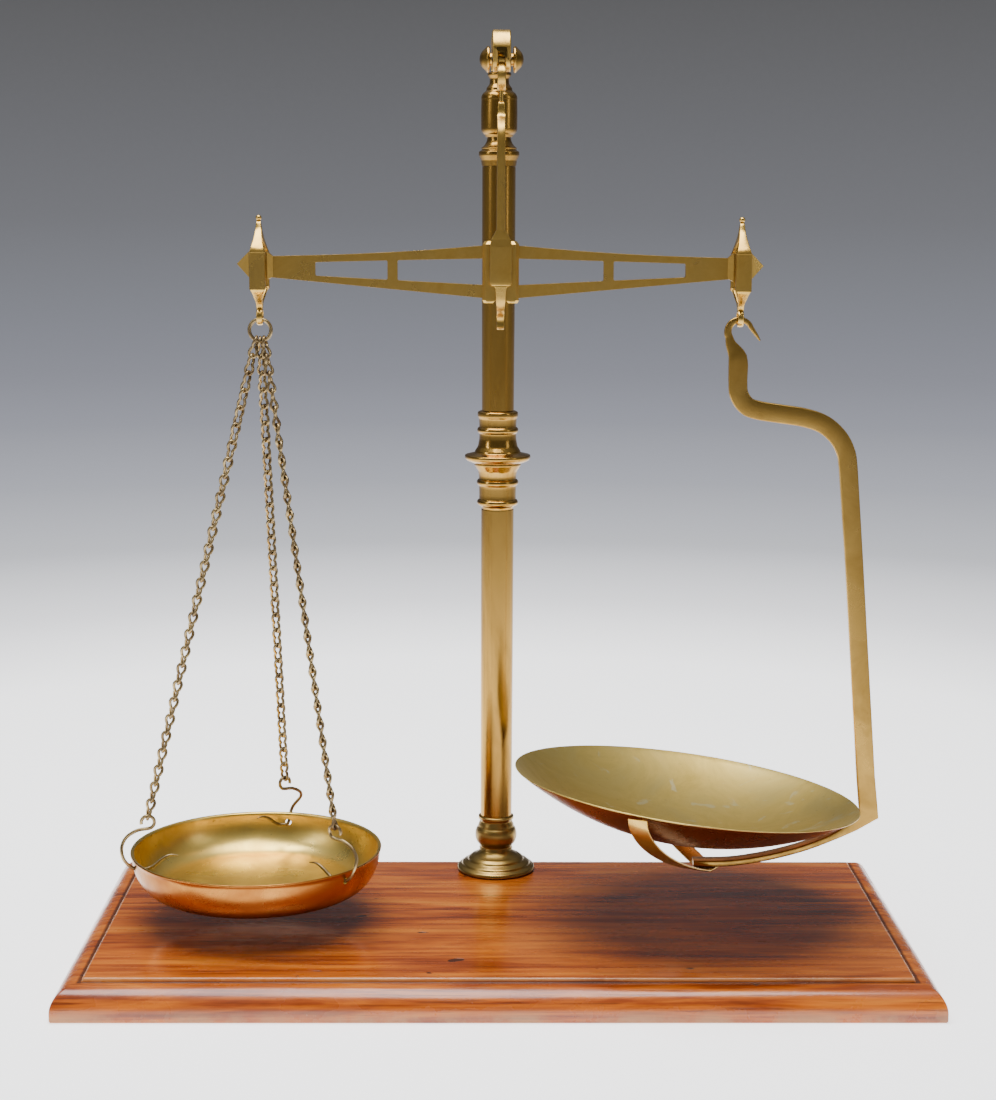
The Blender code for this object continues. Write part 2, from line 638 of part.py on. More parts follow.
def ring_pivot():
    return (-ARM_LENGTH, PLANE_Y, EYE_Z - EYE_IN)


def chain(name, top, bottom, top_across, bottom_across, parent):
    """A chain of twisted links, as the outline that the links fill.

    Every link is flat one way at its top loop and the other way at its bottom loop,
    so the outline turns by 90 degrees in each half pitch.
    """
    line = bottom - top
    count = round(line.length / LINK_PITCH)
    along = line.normalized()
    start = (top_across - along * top_across.dot(along)).normalized()
    second = along.cross(start)
    wanted = (bottom_across - along * bottom_across.dot(along)).normalized()
    excess = math.atan2(wanted.dot(second), wanted.dot(start)) % math.pi
    steps = 4 * count
    rings = []
    for i in range(steps + 1):
        share = i / steps
        turn_by = (math.pi * count + excess) * share
        across = math.cos(turn_by) * start + math.sin(turn_by) * second
        out = along.cross(across)
        crowd = min(1.0, 0.35 + i / 16)          # the first links lie side by side
        width = LINK_WIDTH * (1.0 if i % 2 == 0 else 0.62) * crowd / 2
        deep = LINK_WIRE * 1.1
        centre = top + line * share
        rings.append([centre + across * sx * width + out * sy * deep
                      for sx, sy in ((-1, -1), (1, -1), (1, 1), (-1, 1))])
    make(name, loft(bmesh.new(), rings), dull_brass(), origin=ring_pivot(), parent=parent)


def pan_hooks_and_chains(ring_centre, parent):
    ring_bottom = ring_centre - Vector((0, 0, RING_RADIUS))
    hang = RING_WIRE + GAP
    spread = {"left": -0.0034, "back": 0.0, "right": 0.0034}
    for side, (azimuth, twist) in HOOKS.items():
        out, plane = heading(azimuth), heading(azimuth + twist)
        around = Vector((-plane.y, plane.x, 0))
        axis = Vector((PAN_X, PLANE_Y, 0))
        hook = tube_along(hook_points(axis, out, plane), HOOK_WIRE, 6)
        make(f"pan_hook_{side}", hook, dull_brass(), origin=ring_pivot(), parent=parent)
        loop_top = axis + out * HOOK_LOOP[0] + Vector((0, 0, HOOK_LOOP[1] + HOOK_LOOP_RADIUS))
        bottom = loop_top + Vector((0, 0, HOOK_WIRE + 2 * GAP))
        top = ring_bottom + Vector((spread[side], 0, -hang - GAP))
        chain(f"chain_{side}", top, bottom, Vector((0, 1, 0)), around, parent)


def heading(azimuth):
    a = math.radians(azimuth)
    return Vector((math.cos(a), math.sin(a), 0))


def ease(value, low, high):
    t = min(1.0, max(0.0, (value - low) / (high - low)))
    return t * t * (3 - 2 * t)


def hook_points(axis, out, plane):
    """A hook in space: loop and point lie in their own plane, the wire meets the wall square."""
    loop = axis + out * HOOK_LOOP[0]
    points, passed = [], False
    for r, z in hook_path():
        passed = passed or (z < 0.078 and r < HOOK_HOLE)
        if passed:
            inwards = HOOK_HOLE - r
            share = ease(inwards, 0.003, 0.009)
            point = axis + out * HOOK_HOLE - (out * (1 - share) + plane * share) * inwards
        else:
            share = ease(-z, -0.100, -0.080)
            point = (loop + plane * (r - HOOK_LOOP[0])).lerp(axis + out * r, share)
        points.append(point + Vector((0, 0, z)))
    return points


def hook_path():
    """A pan hook as (distance from the pan's axis, height): loop, shoulder, point."""
    loop = arc(HOOK_LOOP, HOOK_LOOP_RADIUS, -15, 255, 11)
    shank = smooth([(0.0803, 0.1033), (0.0880, 0.1021), (0.0955, 0.0975), (0.0992, 0.0900), (0.0976, 0.0815),
                    (0.0915, 0.0750), (0.0840, 0.0734), (0.0770, 0.0756), (0.0710, 0.0802), (0.0650, 0.0832),
                    (0.0590, 0.0828)], 2)
    return loop[:-1] + [tuple(point) for point in shank]


def pan_profile(radius, depth, floor, power=1.0, steps=8):
    """A pan's wall as (radius, height below the rim): sloping, then round to the floor."""
    points = []
    for i in range(steps + 1):
        a = math.radians(90 * i / steps)
        points.append((floor + (radius - floor) * math.cos(a) ** power, -depth * math.sin(a) ** power))
    return points


def weights_pan(parent):
    """A dish of heavy sheet with a flat floor, a turned-out rim and three hook holes."""
    inside = pan_profile(PAN_RADIUS + 0.0008 - PAN_WALL, PAN_DEPTH - PAN_WALL, PAN_FLOOR - 0.0004)
    outside = pan_profile(PAN_RADIUS + 0.0008, PAN_DEPTH, PAN_FLOOR)
    lip = [(PAN_RADIUS - 0.0004, 0.0008), (PAN_RADIUS + 0.0014, 0.0012), (PAN_RADIUS + 0.0019, 0.0002)]
    profile = [(0, inside[-1][1]), *reversed(inside), *lip, *outside[1:], (0, outside[-1][1])]
    pan = turned(profile, upright(PAN_X, PLANE_Y, PAN_RIM_Z), 40)
    cutters = []
    for azimuth, _ in HOOKS.values():
        axis = Vector((PAN_X, PLANE_Y, 0.0741))
        cutters.append(rod(axis + heading(azimuth) * 0.080, axis + heading(azimuth) * 0.100, 0.0026, 10))
    make("weights_pan", cut(pan, *cutters), brass(), origin=ring_pivot(), parent=parent)


# ---------------------------------------------------------------- goods carrier
def carrier_arm(parent):
    """A hook that widens into a flat arm, cranked outwards, with a rail under the pan."""
    cx, cz = CARRIER_HOOK
    flat = CARRIER_THICKNESS
    tip = [(cx + 0.0145, cz - 0.0062, 0.0012, 0.0016), (cx + 0.0118, cz - 0.0022, 0.0024, 0.0024)]
    bend = arc((cx, cz), CARRIER_HOOK_RADIUS, 22, 208, 9)
    hook = []
    for i, (x, z) in enumerate(bend):
        hook.append((x, z, 0.0034 + 0.0022 * i / (len(bend) - 1), 0.0028))
    neck = [(cx - 0.0063, cz - 0.0085, 0.0074, 0.0032), (cx - 0.0036, cz - 0.0132, 0.0104, 0.0036),
            (cx - 0.0012, cz - 0.0180, 0.0130, flat), (cx - 0.0006, cz - 0.0240, 0.0138, flat)]
    crank = smooth([(0.1693, 0.4260), (0.1703, 0.4160), (0.1760, 0.4078), (0.1850, 0.4045), (0.2000, 0.4022),
                    (0.2180, 0.3994), (0.2320, 0.3944), (0.2425, 0.3850), (0.2482, 0.3740), (0.2500, 0.3640)], 2)
    arm = [(point.x, point.y, 0.0134, flat) for point in crank]
    corner = [(0.2563, 0.2960, 0.0128, flat), (0.2700, 0.1350, 0.0134, flat), (0.2731, 0.1070, 0.0138, flat)]
    rail = [(0.2620, 0.0982, 0.0084, 0.0052), (0.2480, 0.0908, 0.0050, 0.0090), (0.2280, 0.0830, 0.0044, 0.0120),
            (0.2060, 0.0766, 0.0044, 0.0120), (0.1840, 0.0722, 0.0044, 0.0120), (0.1660, 0.0703, 0.0044, 0.0120),
            (0.1440, 0.0703, 0.0044, 0.0120)]
    stations = [*tip, *hook, *neck, *arm, *corner, *rail]
    body = ribbon(stations, Matrix.Translation((0, PLANE_Y, 0)), 8)
    make("carrier_arm", body, brass(), origin=carrier_pivot(), parent=parent)


def carrier_pivot():
    return (ARM_LENGTH, PLANE_Y, EYE_Z - EYE_IN)


def pan_frame():
    """The goods pan's own frame: its rim plane, as it lies in the carrier."""
    tilt = Matrix.Rotation(GOODS_TILT, 4, "Y") @ Matrix.Rotation(GOODS_LEAN, 4, "X")
    return Matrix.Translation(GOODS_CENTRE) @ tilt


def cradle_strap(parent):
    """One strap under the rail: it rises to the pan's rim at the front and at the back."""
    frame = pan_frame()
    middle = Vector((0.1550, PLANE_Y, STRAP_Z))
    steps = 9
    for side in (-1, 1):
        a = math.radians(CLIP_AZIMUTH * side)
        reach = GOODS_RADIUS + 0.0030
        clip = frame @ Vector((reach * math.cos(a), reach * math.sin(a), -0.0024))
        level = Vector((clip.x, clip.y, middle.z))
        flat = (level - middle).normalized()
        across = Vector((0, 0, 1)).cross(flat) * side
        half = []
        start = middle.lerp(level, STRAP_FLAT)                    # flat under the rail
        half.append(strap_section(start, across, Vector((0, 0, 1)), STRAP_WIDTH))
        for i in range(1, steps + 1):
            t = math.radians(90 * i / steps)
            height = clip.z - middle.z
            share = STRAP_SLOPE * math.sin(t) + (1 - STRAP_SLOPE) * (1 - math.cos(t))
            point = start.lerp(level, math.sin(t)) + Vector((0, 0, height * share))
            rise = height * (STRAP_SLOPE * math.cos(t) + (1 - STRAP_SLOPE) * math.sin(t))
            run = (level - start).length * math.cos(t)
            normal = (Vector((0, 0, run)) - flat * rise).normalized()
            half.append(strap_section(point, across, normal, STRAP_WIDTH))
        if side == -1:
            front = half
    rings = front[::-1] + [mitred_section(middle)] + half
    make("cradle_strap", loft(bmesh.new(), rings), brass(), origin=carrier_pivot(), parent=parent)


def strap_section(point, across, normal, width):
    a, n = across * width / 2, normal * STRAP_THICKNESS / 2
    return [point - a - n, point + a - n, point + a + n, point - a + n]


def mitred_section(middle):
    """The strap's middle, where its two halves meet at an angle."""
    return strap_section(middle, Vector((-1, 0, 0)), Vector((0, 0, 1)), STRAP_WIDTH * 1.28)


def goods_pan(parent):
    """A shallow round dish of thin sheet, a cap of a sphere."""
    sphere = (GOODS_RADIUS ** 2 + GOODS_DEPTH ** 2) / (2 * GOODS_DEPTH)
    steps = 8
    inside, outside = [], []
    for i in range(steps + 1):
        radius = GOODS_RADIUS * i / steps
        height = sphere - GOODS_DEPTH - math.sqrt(sphere ** 2 - radius ** 2)
        inside.append((radius * (1 - GOODS_WALL / GOODS_RADIUS * 0.6), height))
        outside.append((radius, height - GOODS_WALL * sphere / math.sqrt(sphere ** 2 - radius ** 2)))
    profile = inside + outside[::-1]
    make("goods_pan", turned(profile, pan_frame(), 40), brass(), origin=GOODS_CENTRE, parent=parent)


# ---------------------------------------------------------------- assembly
def main():
    clear_scene()
    stand = pivot("stand", (0, 0, 0))
    base_board(stand)
    pillar(stand)
    tie_rod(stand)
    swan_neck_arm(stand)
    cross_pin(stand)

    hanger = pivot("hanger_pivot", (0, PLANE_Y, PIN_Z), stand)
    hanger_link(hanger)
    shears_swivel = pivot("shears_pivot", (0, PLANE_Y, 0.6280), hanger)
    shears(shears_swivel)
    bearings("shears", 0.0, 0.4990, KNIFE_Z - GAP, 0.0050, 0.0090, shears_swivel)

    beam_pivot = pivot("beam_pivot", (0, PLANE_Y, KNIFE_Z), shears_swivel)
    beam(beam_pivot)
    pointer(beam_pivot)

    left = pivot("left_shackle_pivot", (-ARM_LENGTH, PLANE_Y, KNIFE_Z), beam_pivot)
    right = pivot("right_shackle_pivot", (ARM_LENGTH, PLANE_Y, KNIFE_Z), beam_pivot)
    for name, x, body in (("left_shackle", -ARM_LENGTH, left), ("right_shackle", ARM_LENGTH, right)):
        shackle(name, x, body)
        bearings(name, x, KNIFE_Z + GAP, 0.5136, 0.0040, 0.0070, body)

    weights = pivot("weights_pivot", ring_pivot(), left)
    ring_centre = suspension_ring(weights)
    pan_hooks_and_chains(ring_centre, weights)
    weights_pan(weights)

    carrier = pivot("carrier_pivot", carrier_pivot(), right)
    carrier_arm(carrier)
    cradle_strap(carrier)
    goods_pan(pivot("goods_pan_seat", GOODS_CENTRE, carrier))


main()
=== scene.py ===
"""Looks of an equal arm balance scale: old brass on a French polished mahogany board.

Every visible piece is rebuilt here in fine detail in the place that its CAD node holds,
in metres, in the CAD's frame: +X along the beam to the goods pan, +Y to the back, +Z up.
"""
import math

import bmesh
import bpy
from mathutils import Matrix, Vector, noise


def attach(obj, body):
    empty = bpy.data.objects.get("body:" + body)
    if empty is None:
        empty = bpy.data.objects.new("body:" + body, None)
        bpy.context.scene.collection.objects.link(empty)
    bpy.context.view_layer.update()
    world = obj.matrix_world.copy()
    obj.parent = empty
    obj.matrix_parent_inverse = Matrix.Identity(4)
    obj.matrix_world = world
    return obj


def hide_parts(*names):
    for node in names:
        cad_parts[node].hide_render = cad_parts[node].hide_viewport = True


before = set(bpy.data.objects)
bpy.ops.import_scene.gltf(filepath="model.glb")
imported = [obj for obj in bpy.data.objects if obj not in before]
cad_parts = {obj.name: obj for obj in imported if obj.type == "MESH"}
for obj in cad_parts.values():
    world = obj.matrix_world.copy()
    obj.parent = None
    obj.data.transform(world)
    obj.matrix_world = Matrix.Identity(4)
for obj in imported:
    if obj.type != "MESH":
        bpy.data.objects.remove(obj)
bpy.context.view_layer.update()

MM = 0.001
GAP = 0.0003

# Board and pillar
BASE_WIDTH, BASE_DEPTH, BASE_HEIGHT = 0.610, 0.300, 0.025
COLUMN_Y = 0.112
TUBE_RADIUS = 0.0127
ROD_RADIUS = 0.003
BORE_RADIUS = ROD_RADIUS + GAP
FOOT_TOP = 0.0700
LOWER_TUBE_TOP = 0.3160
COLLAR_JOINT = 0.3520
UPPER_TUBE_BOTTOM = 0.3930
CAPITAL_BOTTOM = 0.5785
VASE_BOTTOM = 0.6000
VASE_TOP = 0.6483

# Arm, hanger and beam
PLANE_Y = COLUMN_Y - 0.124
ARM_WIDTH = 0.0128
PIN_Z = 0.6479
PIN_RADIUS = 0.0020
SLOT_WIDTH = 0.0048
KNIFE_Z = 0.5066
ARM_LENGTH = 0.170
BLOCK_HALF = 0.0128
BEAM_THICKNESS = 0.005
EYE_Z = 0.4698
EYE_IN, EYE_OUT = 0.0040, 0.0062
RING_RADIUS, RING_WIRE = 0.00765, 0.00135

# Weights pan
PAN_X = -0.1777
PAN_RIM_Z = 0.0804
PAN_RADIUS = 0.0900
PAN_DEPTH = 0.0292
PAN_FLOOR = 0.0700
PAN_WALL = 0.00175
HOOKS = {"back": (80.0, -38.0), "left": (200.0, -10.0), "right": (320.0, 10.0)}   # azimuth, twist
HOOK_HOLE = 0.0892
HOOK_WIRE = 0.00125
HOOK_LOOP = (0.0800, 0.1080)
HOOK_LOOP_RADIUS = 0.0047
LINK_WIRE = 0.00112
LINK_HALF_WIDTH = 0.0031
LINK_PITCH = 0.0127

# Goods pan and carrier
GOODS_CENTRE = Vector((0.1386, PLANE_Y, 0.1283))
GOODS_RADIUS = 0.1272
GOODS_DEPTH = 0.0385
GOODS_WALL = 0.0007
GOODS_TILT = math.radians(7.0)
GOODS_LEAN = math.radians(-3.0)
CARRIER_HOOK = (ARM_LENGTH, 0.4603)
CARRIER_HOOK_RADIUS = 0.0085
CARRIER_THICKNESS = 0.0044
CLIP_AZIMUTH = 111.0
STRAP_WIDTH, STRAP_THICKNESS = 0.0140, 0.0016
STRAP_Z = 0.0670
STRAP_FLAT, STRAP_SLOPE = 0.075, 0.55

ROUND = 96                         # sides of a turned piece
QUARTERS = ((1, 1, 0), (-1, 1, 90), (-1, -1, 180), (1, -1, 270))     # corner signs and start angle

# Stage
FLOOR_REACH = 7.0                  # from the middle of the floor to the wall
SWEEP_RADIUS = 1.4                 # where the floor curves up into the wall
WALL_TOP = 4.0
POOL_Y = 0.3                       # the middle of the brightest part of the floor
FADE_LENGTH = 12.0                 # over which the floor and the wall darken


# ---------------------------------------------------------------- camera and stage
def camera():
    """A long lens a little above the beam, turned slightly to the right."""
    pitch, yaw, roll = 0.1571, 0.0123, -0.0046
    ahead = Vector((math.sin(yaw) * math.cos(pitch), math.cos(yaw) * math.cos(pitch), -math.sin(pitch)))
    level = Vector((math.cos(yaw), -math.sin(yaw), 0.0))
    down = -level.cross(ahead)
    right = math.cos(roll) * level + math.sin(roll) * down
    down = -math.sin(roll) * level + math.cos(roll) * down
    data = bpy.data.cameras.new("camera")
    data.lens, data.sensor_width, data.sensor_fit = 67.15, 36.0, "AUTO"
    obj = bpy.data.objects.new("camera", data)
    bpy.context.scene.collection.objects.link(obj)
    turn_to = Matrix((right, -down, -ahead)).transposed().to_4x4()
    obj.matrix_world = Matrix.Translation((-0.0189, -1.4724, 0.5344)) @ turn_to
    bpy.context.scene.camera = obj


def area_light(name, place, target, size, power, colour=(1.0, 1.0, 1.0)):
    data = bpy.data.lights.new(name, "AREA")
    data.shape = "RECTANGLE"
    data.size, data.size_y = size
    data.energy, data.color = power, colour
    obj = bpy.data.objects.new(name, data)
    bpy.context.scene.collection.objects.link(obj)
    obj.location = place
    obj.rotation_euler = (Vector(target) - Vector(place)).to_track_quat("-Z", "Y").to_euler()


def studio():
    """A pale floor that curves up into a grey wall all round and glows, a painted pool of light that falls off to
    grey; one panel overhead, two soft boxes.
    """
    world = bpy.data.worlds.new("studio")
    world.use_nodes = True
    world.node_tree.nodes["Background"].inputs["Color"].default_value = (0.80, 0.84, 0.92, 1.0)
    world.node_tree.nodes["Background"].inputs["Strength"].default_value = 0.30
    bpy.context.scene.world = world
    area_light("overhead", (-0.2, -0.2, 2.1), (0.0, 0.0, 0.2), (1.8, 1.4), 75)
    area_light("left_box", (-1.9, -0.8, 1.3), (0.0, 0.0, 0.35), (0.35, 1.2), 7)
    area_light("right_box", (1.9, -0.9, 1.1), (0.0, 0.0, 0.35), (0.25, 1.2), 3.5)

    flat = FLOOR_REACH - SWEEP_RADIUS
    sweep = [(0.0, 0.0), (FLOOR_REACH * 0.25, 0.0), (FLOOR_REACH * 0.5, 0.0), (flat, 0.0)]
    sweep += [(flat + SWEEP_RADIUS * math.sin(a), SWEEP_RADIUS * (1 - math.cos(a)))
              for a in (math.radians(d) for d in range(10, 91, 10))]
    sweep += [(FLOOR_REACH, WALL_TOP)]
    bm = bmesh.new()
    columns = []
    for radius, height in sweep:
        if radius < 1e-6:
            columns.append([bm.verts.new((0, 0, 0))] * 96)
            continue
        columns.append([bm.verts.new((radius * math.cos(a), radius * math.sin(a), height))
                        for a in (2 * math.pi * i / 96 for i in range(96))])
    for first, second in zip(columns, columns[1:]):
        for i in range(96):
            corners = []
            for vert in (first[i], first[(i + 1) % 96], second[(i + 1) % 96], second[i]):
                if vert not in corners:
                    corners.append(vert)
            bm.faces.new(corners)
    bmesh.ops.recalc_face_normals(bm, faces=bm.faces[:])
    if columns[1][0].link_faces[0].normal.z < 0:
        bmesh.ops.reverse_faces(bm, faces=bm.faces[:])
    mesh = bpy.data.meshes.new("floor")
    bm.to_mesh(mesh)
    bm.free()
    mesh.shade_smooth()
    mesh.materials.append(glowing_floor_paper())
    obj = bpy.data.objects.new("floor", mesh)
    bpy.context.scene.collection.objects.link(obj)
    obj.location = (0, 0, -0.0002)


# ---------------------------------------------------------------- node graphs
class Graph:
    """A material and short names for the nodes that it needs."""

    def __init__(self, name):
        self.material = bpy.data.materials.new(name)
        self.material.use_nodes = True
        self.tree = self.material.node_tree
        self.shader = self.tree.nodes["Principled BSDF"]

    def add(self, kind, sockets=None, **settings):
        node = self.tree.nodes.new("ShaderNode" + kind)
        for key, value in settings.items():
            setattr(node, key, value)
        for key, value in (sockets or {}).items():
            self.put(node.inputs[key], value)
        return node

    def put(self, socket, value):
        if isinstance(value, bpy.types.NodeSocket):
            self.tree.links.new(value, socket)
        else:
            socket.default_value = value

    def give(self, **sockets):
        for key, value in sockets.items():
            self.put(self.shader.inputs[key.replace("_", " ").title().replace("Ior", "IOR")], value)
        return self.material

    def place(self, scale=(1, 1, 1), rotation=(0, 0, 0)):
        where = self.add("TexCoord").outputs["Object"]
        return self.add("Mapping", {"Vector": where, "Scale": scale, "Rotation": rotation}).outputs["Vector"]

    def noise(self, vector, scale, detail=4.0, rough=0.55, twist=0.0):
        return self.add("TexNoise", {"Vector": vector, "Scale": scale, "Detail": detail, "Roughness": rough,
                                     "Distortion": twist}).outputs["Fac"]

    def ramp(self, fac, *stops):
        node = self.add("ValToRGB", {"Fac": fac})
        elements = node.color_ramp.elements
        while len(elements) < len(stops):
            elements.new(0.5)
        for element, (place, colour) in zip(elements, stops):
            element.position = place
            element.color = (*colour, 1.0) if isinstance(colour, tuple) else (colour, colour, colour, 1.0)
        return node.outputs["Color"]

    def sum(self, operation, *values):
        node = self.add("Math", operation=operation)
        for socket, value in zip(node.inputs, values):
            self.put(socket, value)
        return node.outputs["Value"]

    def spread(self, value, low, high, to_low=0.0, to_high=1.0):
        return self.add("MapRange", {"Value": value, "From Min": low, "From Max": high, "To Min": to_low,
                                     "To Max": to_high}, interpolation_type="SMOOTHSTEP").outputs["Result"]

    def mix(self, fac, first, second):
        node = self.add("Mix", data_type="RGBA")
        for socket, value in zip((node.inputs["Factor"], node.inputs[6], node.inputs[7]), (fac, first, second)):
            if isinstance(value, tuple) and len(value) == 3:
                value = (*value, 1.0)
            self.put(socket, value)
        return node.outputs[2]

    def bump(self, height, distance, strength=1.0):
        return self.add("Bump", {"Height": height, "Distance": distance, "Strength": strength}).outputs["Normal"]

    def split(self):
        return self.add("SeparateXYZ", {"Vector": self.add("TexCoord").outputs["Object"]}).outputs


def glowing_floor_paper():
    """A glowing floor: a painted pool of light, white under the object, with painted falloff to grey towards the
    wall and up it.
    """
    g = Graph("glowing_floor_paper")
    x, y, z = g.split()
    y = g.sum("SUBTRACT", y, POOL_Y)
    away = g.sum("SQRT", g.sum("ADD", g.sum("MULTIPLY", x, x), g.sum("MULTIPLY", y, y)))
    away = g.sum("ADD", away, g.sum("MULTIPLY", z, 3.0))
    # painted light: this ramp paints a bright pool round the object, and its falloff, into the floor's colour
    painted_light_falloff = g.ramp(g.sum("DIVIDE", away, FADE_LENGTH), (0.0, (0.85, 0.85, 0.85)), (0.062, (0.80, 0.80, 0.81)),
                   (0.096, (0.50, 0.50, 0.52)), (0.142, (0.28, 0.285, 0.305)), (0.211, (0.205, 0.21, 0.235)),
                   (0.321, (0.154, 0.158, 0.182)), (0.483, (0.122, 0.125, 0.145)), (0.567, (0.103, 0.106, 0.120)),
                   (0.675, (0.080, 0.081, 0.088)), (0.925, (0.049, 0.049, 0.050)))
    grain = g.noise(g.place(), 40.0)
    g.give(base_color=painted_light_falloff, roughness=g.spread(grain, 0.0, 1.0, 0.7, 0.85))
    # the floor glows with the same painted light, though it is no lamp
    g.put(g.shader.inputs["Emission Color"], painted_light_falloff)
    g.shader.inputs["Emission Strength"].default_value = 2.0
    return g.material


def brass(name, light, dark, rough=(0.12, 0.26), stretch=(1, 1, 1), spots=0.35, scratch=0.00003, blotch=22.0):
    """Old polished brass: slow tarnish clouds, dark specks, hairline scratches."""
    g = Graph(name)
    cloud = g.noise(g.place(stretch), blotch, 6.0, 0.6, 0.6)
    fine = g.noise(g.place(stretch), blotch * 9, 5.0, 0.65)
    colour = g.ramp(cloud, (0.32, dark), (0.62, light))
    speck = g.spread(fine, 0.62, 0.78)
    colour = g.mix(g.sum("MULTIPLY", speck, spots), colour, (0.20, 0.11, 0.04))
    lines = g.noise(g.place((900.0 * stretch[0], 900.0 * stretch[1], 30.0 * stretch[2])), 1.0, 3.0)
    pits = g.noise(g.place(), 1400.0, 3.0, 0.6)
    height = g.sum("ADD", lines, g.sum("MULTIPLY", pits, 0.8))
    roughness = g.sum("ADD", g.spread(cloud, 0.3, 0.7, *rough[::-1]), g.sum("MULTIPLY", speck, 0.18))
    return g.give(base_color=colour, metallic=1.0, roughness=roughness, normal=g.bump(height, scratch))


def steel():
    g = Graph("dark_steel")
    cloud = g.noise(g.place(), 60.0, 6.0)
    return g.give(base_color=g.ramp(cloud, (0.35, (0.10, 0.09, 0.08)), (0.7, (0.34, 0.33, 0.31))), metallic=1.0,
                  roughness=g.spread(cloud, 0.3, 0.7, 0.45, 0.30),
                  normal=g.bump(g.noise(g.place((40, 900, 900)), 1.0), 0.00002))


def goods_brass():
    """Satin sheet brass for the inside: brushed, with pale stains; the darker underside is a separate material of
    painted shade and a painted reflection of the board.
    """
    g = Graph("goods_pan_brass")
    cloud = g.noise(g.place(), 14.0, 7.0, 0.65, 1.2)
    fine = g.noise(g.place(), 160.0, 5.0, 0.7)
    colour = g.ramp(cloud, (0.30, (0.62, 0.43, 0.10)), (0.50, (0.82, 0.60, 0.17)), (0.72, (0.92, 0.71, 0.24)))
    stain = g.noise(g.place(), 34.0, 3.0, 0.5, 2.2)
    colour = g.mix(g.spread(stain, 0.62, 0.72, 0.0, 0.55), colour, (0.86, 0.78, 0.50))
    colour = g.mix(g.spread(fine, 0.60, 0.80, 0.0, 0.4), colour, (0.30, 0.18, 0.06))
    hair = g.add("TexWave", {"Vector": g.place((1, 1, 0.2), (0, 0, 0.5)), "Scale": 260.0, "Distortion": 16.0,
                             "Detail": 4.0, "Detail Scale": 3.0}).outputs["Fac"]
    height = g.sum("ADD", g.sum("MULTIPLY", hair, 0.6), g.noise(g.place(), 900.0))
    return g.give(base_color=colour, metallic=1.0, roughness=g.spread(cloud, 0.3, 0.7, 0.44, 0.34),
                  normal=g.bump(height, 0.00004))


def mahogany():
    """Grain along X in streaks and pores, a dark line of painted shade in the groove at the field, a pale arris
    beside it that is wear and a painted highlight, worn pale edges.
    """
    g = Graph("mahogany")
    band = g.noise(g.place((0.9, 9.0, 9.0)), 6.0, 5.0, 0.6, 0.8)
    streak = g.noise(g.place((2.2, 60.0, 60.0)), 3.2, 8.0, 0.68, 0.35)
    pore = g.noise(g.place((18.0, 700.0, 700.0)), 1.0, 3.0, 0.6)
    cloud = g.noise(g.place((1.0, 2.0, 1.0)), 5.0, 3.0)
    tone = g.sum("ADD", g.sum("MULTIPLY", band, 0.55), g.sum("MULTIPLY", streak, 0.45))
    colour = g.ramp(tone, (0.32, (0.060, 0.009, 0.003)), (0.44, (0.27, 0.046, 0.004)),
                    (0.53, (0.50, 0.115, 0.007)), (0.66, (0.70, 0.225, 0.018)))
    colour = g.mix(g.spread(pore, 0.56, 0.70, 0.0, 0.55), colour, (0.045, 0.010, 0.005))
    colour = g.mix(g.spread(cloud, 0.50, 0.72, 0.0, 0.35), colour, (0.62, 0.19, 0.030))
    x, y, z = g.split()
    inset_x = g.sum("SUBTRACT", BASE_WIDTH / 2, g.sum("ABSOLUTE", x))
    inset_y = g.sum("SUBTRACT", BASE_DEPTH / 2, g.sum("ABSOLUTE", y))
    inset = g.sum("MINIMUM", inset_x, inset_y)
    wear = g.noise(g.place(), 26.0, 6.0, 0.65)
    worn = g.sum("MULTIPLY", g.spread(z, 0.012, 0.001), g.spread(wear, 0.36, 0.62))
    colour = g.mix(g.sum("MULTIPLY", worn, 0.75), colour, (0.42, 0.21, 0.085))
    # painted shade: a dark line painted into the small groove where the field meets the moulding
    line = g.sum("MULTIPLY", g.spread(inset, 0.0150, 0.0172), g.spread(inset, 0.0194, 0.0186))
    colour = g.mix(g.sum("MULTIPLY", line, 0.82), colour, (0.022, 0.006, 0.003))
    # a pale line along the field's edge: partly wear, partly a painted highlight
    worn_arris_and_painted_highlight = g.sum("MULTIPLY", g.spread(inset, 0.0190, 0.0196), g.spread(inset, 0.0212, 0.0200))
    worn_arris_and_painted_highlight = g.sum("MULTIPLY", worn_arris_and_painted_highlight, g.spread(wear, 0.30, 0.55))
    colour = g.mix(g.sum("MULTIPLY", worn_arris_and_painted_highlight, 0.55), colour, (0.60, 0.30, 0.12))
    dent = g.noise(g.place((1.0, 1.6, 1.0)), 55.0, 1.0, 0.4)
    dent = g.spread(dent, 0.765, 0.80)
    colour = g.mix(g.sum("MULTIPLY", dent, 0.85), colour, (0.02, 0.006, 0.003))
    height = g.sum("SUBTRACT", g.sum("MULTIPLY", g.noise(g.place(), 300.0, 3.0), 0.25),
                   g.sum("MULTIPLY", g.spread(pore, 0.55, 0.75), 0.35))
    height = g.sum("SUBTRACT", height, g.sum("MULTIPLY", dent, 3.0))
    slow = g.noise(g.place((2.0, 8.0, 8.0)), 5.0, 2.0)
    ripple = g.bump(slow, 0.0012, 0.5)
    normal = g.add("Bump", {"Height": height, "Distance": 0.00012, "Normal": ripple}).outputs["Normal"]
    rough = g.sum("ADD", g.spread(g.noise(g.place((1, 3, 1)), 18.0, 5.0), 0.35, 0.7, 0.20, 0.34),
                  g.sum("MULTIPLY", worn, 0.25))
    g.give(base_color=colour, roughness=rough, normal=normal)
    g.shader.inputs["Coat Weight"].default_value = 0.35
    g.shader.inputs["Coat Roughness"].default_value = 0.12
    return g.material


